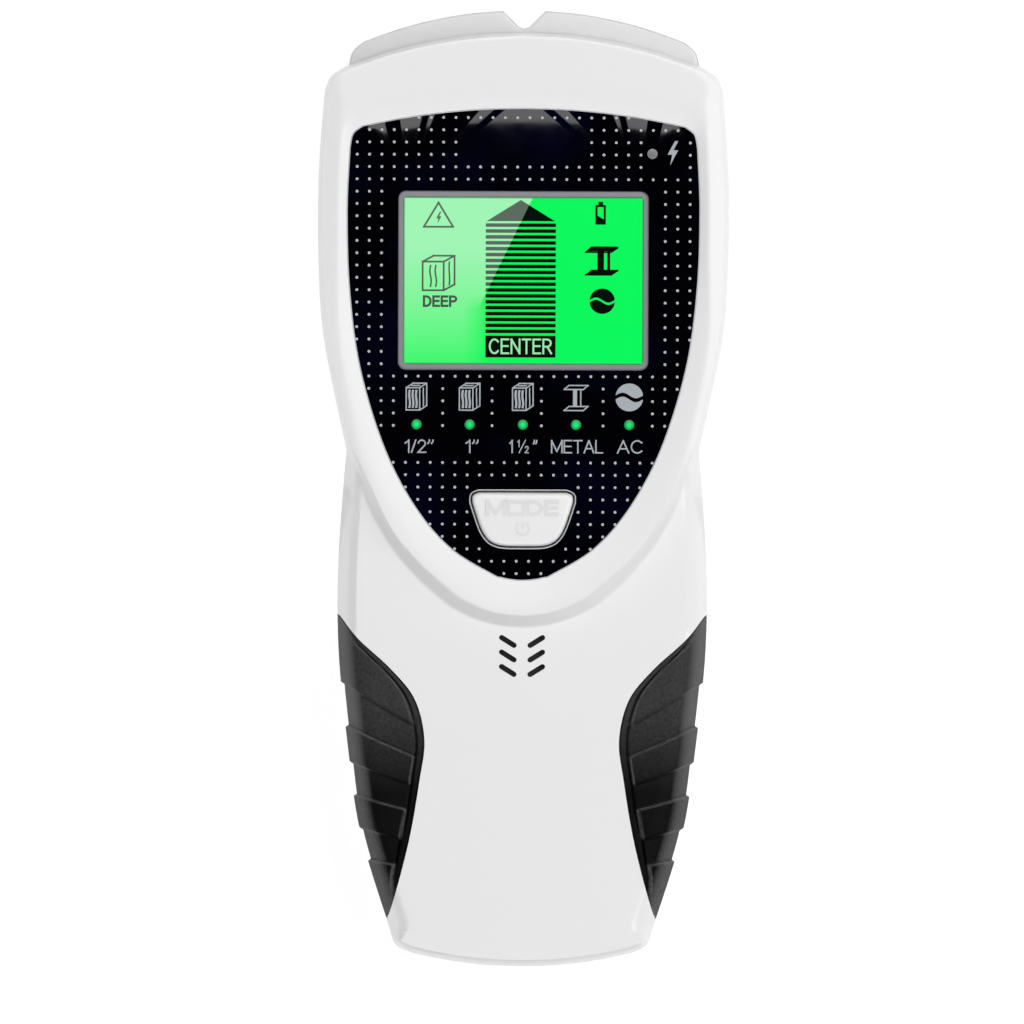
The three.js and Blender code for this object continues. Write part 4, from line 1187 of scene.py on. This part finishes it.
class Shader:
    """A small helper for building a material's nodes."""

    def __init__(self, name, color, roughness, **inputs):
        self.material = bpy.data.materials.new(name)
        self.material.use_nodes = True
        self.nodes = self.material.node_tree.nodes
        self.principled = self.nodes["Principled BSDF"]
        self.set("Base Color", color)
        self.set("Roughness", roughness)
        for key, value in inputs.items():
            self.set(key.replace("_", " "), value)

    def feed(self, socket, value):
        """Links an output to a socket, or sets the socket to a number or a colour."""
        if hasattr(value, "is_linked"):
            self.material.node_tree.links.new(value, socket)
        else:
            socket.default_value = (*value, 1) if isinstance(value, tuple) else value

    def set(self, name, value):
        self.feed(self.principled.inputs[name], value)

    def add(self, kind, inputs, **settings):
        node = self.nodes.new(kind)
        for key, value in settings.items():
            setattr(node, key, value)
        for name, value in inputs.items():
            self.feed(node.inputs[name], value)
        return node.outputs

    def place(self):
        """The point's place in the object, in metres."""
        return self.add("ShaderNodeTexCoord", {})["Object"]

    def xyz(self):
        return self.add("ShaderNodeSeparateXYZ", {0: self.place()})

    def noise(self, scale, detail=2.0, roughness=0.5):
        inputs = {"Vector": self.place(), "Scale": scale, "Detail": detail, "Roughness": roughness}
        return self.add("ShaderNodeTexNoise", inputs)["Fac"]

    def spread(self, source, low, high, from_low=0.3, from_high=0.7):
        """The source, from its own range, taken to a range from low to high."""
        inputs = {"Value": source, "From Min": from_low, "From Max": from_high, "To Min": low, "To Max": high}
        return self.add("ShaderNodeMapRange", inputs)["Result"]

    def blend(self, source, first, second):
        return self.add("ShaderNodeMix", {0: source, 6: first, 7: second}, data_type="RGBA")[2]

    def bump(self, source, strength, distance):
        inputs = {"Strength": strength, "Distance": distance, "Height": source}
        self.set("Normal", self.add("ShaderNodeBump", inputs)["Normal"])

    def math(self, operation, *values):
        return self.add("ShaderNodeMath", dict(enumerate(values)), operation=operation)[0]


def moulded(name, color, roughness, grain=0.02, variation=0.03, scale=2500, **inputs):
    """Moulded plastic: a fine grain, and slight changes in colour and gloss."""
    shader = Shader(name, color, roughness, **inputs)
    low = tuple(c * (1 - variation) for c in color)
    shader.set("Base Color", shader.blend(shader.spread(shader.noise(35, 1), 0, 1, 0.2, 0.8), low, color))
    shader.set("Roughness", shader.spread(shader.noise(400, 3), roughness - 0.01, roughness + 0.01))
    shader.bump(shader.noise(scale, 2), grain, 0.0001)
    return shader.material


def rubber_material():
    """Grainy rubber, with painted light that makes it greyer towards the grips' tops, painted shade in its
    creases and a painted highlight along the pads' rims.
    """
    shader = Shader("grip_rubber", (0.02, 0.02, 0.021), 0.45)
    # Painted light: the rubber is light grey towards the grips' tops and near black lower down, where less
    # light falls.
    painted_light = shader.spread(shader.xyz()["Y"], 0, 1, -0.057, -0.041)
    grain = shader.noise(1500, 4, 0.7)
    grained_painted_light = shader.math("MULTIPLY", painted_light, shader.spread(grain, 0.55, 1.25, 0.3, 0.7))
    base = shader.blend(grained_painted_light, (0.0012, 0.0012, 0.0014), (0.038, 0.038, 0.039))
    # Painted shade: where Pointiness shows a concave crease, the colour goes near black.
    curve = shader.add("ShaderNodeNewGeometry", {})["Pointiness"]
    painted_crease_shade = shader.blend(shader.spread(curve, 1, 0, 0.44, 0.49), base, (0.0008, 0.0008, 0.0009))
    # Painted highlight: the pads' rims are made light grey, standing in for glints on their edges.
    rim = shader.add("ShaderNodeAttribute", {}, attribute_name="painted_rim_highlight")["Fac"]
    rim = shader.math("MULTIPLY", rim, shader.spread(grain, 0.4, 1, 0.35, 0.6))
    shader.set("Base Color", shader.blend(rim, painted_crease_shade, (0.11, 0.11, 0.11)))
    shader.set("Roughness", shader.spread(grain, 0.38, 0.5))
    shader.set("Specular IOR Level", 0.07)
    shader.bump(grain, 0.3, 0.0003)
    return shader.material


def fascia_material():
    shader = Shader("fascia_gloss", (0.001, 0.001, 0.002), 0.06)
    tint = shader.spread(shader.noise(45, 4), 0, 1, 0.45, 0.75)
    shader.set("Base Color", shader.blend(tint, (0.0006, 0.0006, 0.0016), (0.001, 0.0012, 0.011)))
    shader.set("Roughness", shader.spread(shader.noise(200, 2), 0.04, 0.08))
    shader.set("Specular IOR Level", 0.4)
    return shader.material


def glare_share(shader):
    """The share of pale light lying over the display's left side: strong above a slanting
    edge, and fading to nothing towards the bottom."""
    x, y, _ = shader.xyz()
    lean, at_y_zero = 0.4855, -0.02485
    slant = shader.math("SUBTRACT", x, shader.math("MULTIPLY_ADD", y, lean, at_y_zero))
    beside = shader.spread(slant, 1, 0, -0.00008, 0.00008)
    above = shader.spread(y, 0, 1, 0.0335, 0.0365)
    column = shader.spread(x, 1, 0, -0.0115, -0.0065)
    lower = shader.math("MULTIPLY", column, shader.math("SUBTRACT", 1.0, above))
    share = shader.math("ADD", shader.math("MULTIPLY", beside, above), lower)
    fade = shader.spread(y, 0.06, 1, 0.022, 0.045)
    return shader.math("MULTIPLY", share, fade)


def lit_material(name, color, strength=1.0):
    shader = Shader(name, (0, 0, 0), 0.12)
    shader.set("Specular IOR Level", 0.2)
    shader.set("Emission Color", color)
    shader.set("Emission Strength", strength)
    return shader


def display_material():
    """Green back light, darker in the shade of the bezel, with the pale glare over it."""
    shader = lit_material("display_light", (0, 1, 0), 1.06)
    x, y, _ = shader.xyz()
    across = shader.math("ABSOLUTE", x)
    along = shader.math("ABSOLUTE", shader.math("SUBTRACT", y, DISPLAY_Y * MM))
    half_width, half_height = WINDOW[0] / 2 * MM, WINDOW[1] / 2 * MM
    beyond = shader.math("MAXIMUM", shader.math("SUBTRACT", across, half_width),
                         shader.math("SUBTRACT", along, half_height))
    shade = shader.spread(beyond, 0, 1, -0.00042, -0.00012)
    green, pale, dark = (0.002, 0.98, 0.115), (0.37, 0.95, 0.48), (0.06, 0.22, 0.12)
    lit = shader.blend(glare_share(shader), green, pale)
    shader.set("Emission Color", shader.blend(shade, lit, dark))
    return shader.material


def pane_material():
    """Clear plastic, of which little but the gloss is seen."""
    shader = Shader("clear_pane", (0.02, 0.02, 0.02), 0.04)
    shader.set("Alpha", 0.05)
    return shader.material


def ink_material():
    shader = lit_material("display_ink", (0, 0, 0))
    dark, pale = (0.0, 0.004, 0.001), (0.115, 0.165, 0.125)
    shader.set("Emission Color", shader.blend(glare_share(shader), dark, pale))
    return shader.material


def lamp_material():
    shader = lit_material("lamp_lit", (0, 1, 0))
    from_middle = shader.add("ShaderNodeVectorMath", {0: shader.place()}, operation="LENGTH")["Value"]
    core = shader.spread(from_middle, 1, 0, 0.0003, 0.00098)
    shader.set("Emission Color", shader.blend(core, (0.0, 0.16, 0.04), (0.02, 0.82, 0.2)))
    return shader.material


def make_materials():
    """One procedural material for each of the record's slots, and a few for the prints."""
    return {
        "shell_white": moulded("shell_plastic", (0.80, 0.80, 0.80), 0.30, 0.02, 0.006, 3200),
        "grip_black": rubber_material(),
        "fascia_black": fascia_material(),
        "frame_grey": moulded("frame_plastic", (0.235, 0.225, 0.25), 0.5, 0.1, 0.06),
        "display_green": display_material(),
        "diffuser_white": moulded("diffuser", (0.8, 0.85, 0.78), 0.5),
        "zebra_rubber": moulded("zebra", (0.55, 0.3, 0.34), 0.7),
        "key_white": moulded("key_plastic", (0.82, 0.82, 0.82), 0.26, 0.05, 0.01),
        "board_green": moulded("board_mask", (0.02, 0.12, 0.05), 0.35, 0.15, 0.25, 900),
        "copper": moulded("bare_copper", (0.75, 0.38, 0.22), 0.3, 0.2, 0.15, 1800, Metallic=1.0),
        "former_white": moulded("nylon", (0.78, 0.76, 0.68), 0.5),
        "chip_black": moulded("epoxy", (0.02, 0.02, 0.022), 0.45, 0.2, 0.1),
        "tinned_steel": moulded("plated_steel", (0.6, 0.61, 0.63), 0.28, 0.15, 0.08, 1500, Metallic=1.0),
        "led_green": lamp_material(),
        "led_grey": moulded("lamp_unlit", (0.2, 0.195, 0.2), 0.25),
        "battery_jacket": moulded("battery_lacquer", (0.05, 0.05, 0.055), 0.3, 0.1, 0.1, 1200, Metallic=0.4),
        "lead_red": moulded("red_insulation", (0.5, 0.02, 0.02), 0.45),
        "lead_black": moulded("black_insulation", (0.015, 0.015, 0.016), 0.45),
        "foam_grey": moulded("foam", (0.06, 0.06, 0.065), 0.95, 1.0, 0.4, 1400),
        "sleeve_blue": moulded("sleeve", (0.02, 0.04, 0.12), 0.3),
        "pane": pane_material(),
        "ink": ink_material(),
        "cut_out": lit_material("display_cut_out", (0.35, 0.95, 0.45)).material,
        "dots": moulded("dot_print", (0.45, 0.45, 0.47), 0.4),
        "signs": moulded("sign_print", (0.36, 0.40, 0.43), 0.4),
        "marks": moulded("key_marks", (0.73, 0.73, 0.73), 0.35),
        "edge": moulded("clear_edge_grey_and_highlight", (0.5, 0.5, 0.52), 0.2),
    }


# ------------------------------------------------------------------ studio

LIGHTS = {  # place, size and power of each soft box, in metres and watts
    "key_right": ((1.3, 0.2, 1.35), (1.4, 1.8), 21.5),
    "fill_left": ((-1.5, -0.1, 1.4), (1.2, 1.8), 6.5),
    "front": ((-0.3, -1.3, 1.8), (1.8, 1.0), 18),
    "back": ((0.0, 0.9, 1.9), (1.8, 0.8), 17),
}
AIMED_AT = (0, 0, 0.02)


def soft_box(name, place, size, power):
    light = bpy.data.lights.new(name, "AREA")
    light.shape = "RECTANGLE"
    light.size, light.size_y = size
    light.energy = power
    lamp = bpy.data.objects.new(name, light)
    bpy.context.scene.collection.objects.link(lamp)
    lamp.location = place
    lamp.rotation_euler = (Vector(AIMED_AT) - Vector(place)).to_track_quat("-Z", "Y").to_euler()
    lamp.visible_camera = False


def studio():
    """Pale floor, pale surroundings that darken overhead, and four soft boxes."""
    scene = bpy.context.scene
    scene.view_settings.view_transform = "Standard"
    floor_material = Shader("floor", (0.35, 0.35, 0.35), 0.9)
    floor_material.set("Specular IOR Level", 0.0)
    floor_material.set("Emission Color", (1, 1, 1))
    floor_material.set("Emission Strength", 0.76)
    mesh = bpy.data.meshes.new("floor")
    reach, level = 12.0, -0.0004
    mesh.from_pydata([(x, y, level) for x, y in rectangle(-reach, reach, -reach, reach)], [], [(0, 1, 2, 3)])
    mesh.materials.append(floor_material.material)
    floor = bpy.data.objects.new("floor", mesh)
    scene.collection.objects.link(floor)

    world = bpy.data.worlds.new("studio")
    world.use_nodes = True
    scene.world = world
    nodes, links = world.node_tree.nodes, world.node_tree.links
    coordinates = nodes.new("ShaderNodeTexCoord")
    split = nodes.new("ShaderNodeSeparateXYZ")
    fade = nodes.new("ShaderNodeMapRange")
    fade.interpolation_type = "SMOOTHSTEP"
    for socket, value in (("From Min", 0.3), ("From Max", 0.85), ("To Min", 0.28), ("To Max", 0.02)):
        fade.inputs[socket].default_value = value
    links.new(coordinates.outputs["Generated"], split.inputs[0])
    links.new(split.outputs["Z"], fade.inputs["Value"])
    links.new(fade.outputs["Result"], nodes["Background"].inputs["Strength"])

    for name, (place, size, power) in LIGHTS.items():
        soft_box(name, place, size, power)


FRAME_WIDTH = 0.1926            # what the picture shows across, at the object, in metres
LOOK_AT = (-0.00198, -0.00442)  # the middle of the picture, in metres
ROLL = 0.2                      # in degrees


def camera():
    """A distant camera looking straight down on the display, with the notch at the top."""
    data = bpy.data.cameras.new("camera")
    distance = 8.0
    data.sensor_width = 36
    data.lens = data.sensor_width * distance / FRAME_WIDTH
    data.clip_end = 50
    eye = bpy.data.objects.new("camera", data)
    eye.location = (*LOOK_AT, HANDLE_TOP * MM + distance)
    eye.rotation_euler = (0, 0, math.radians(ROLL))
    bpy.context.scene.collection.objects.link(eye)
    bpy.context.scene.camera = eye


# ------------------------------------------------------------------ assembly

def dress_frame(materials):
    """Gives every CAD node that still shows the material of its slot."""
    for part in frame["record"]["subparts"]:
        node = frame["nodes"][part["node"]]
        for slot in node.material_slots:
            slot.material = materials[part["material_slot"]]


def main():
    camera()
    studio()
    materials = make_materials()
    dress_frame(materials)
    for shell_piece in (front_cover, rear_cover, battery_door):
        shell_piece(materials["shell_white"])
    foam_pad(materials["foam_grey"])
    for side in (-1, 1):
        side_grip(side, materials["grip_black"])
    fascia_panel(materials["fascia_black"])
    fascia_prints(materials["dots"], materials["signs"])
    lamp_windows(materials["led_green"], materials["led_grey"])
    display_bezel(materials["frame_grey"])
    display_face(materials["display_green"])
    display_window(materials["pane"])
    display_marks(materials["ink"], materials["cut_out"])
    edge, top = materials["edge"], FASCIA_HIGH
    # The two rings take the place of the clear acrylic's edges: round the fascia, the grey of its clear
    # unprinted margin; round the button hole, a painted highlight where the cut edge catches light.
    outline_ring("button_rim", offset(BUTTON, -0.52), top - 0.1, top + 0.05, edge)
    outline_ring("fascia_edge", offset(FASCIA, 0.02), top - 0.45, top + 0.02, edge)
    mode_key(materials["key_white"], materials["marks"])
    battery_block(materials["battery_jacket"], materials["tinned_steel"])
    case_screws(materials["tinned_steel"])


main()
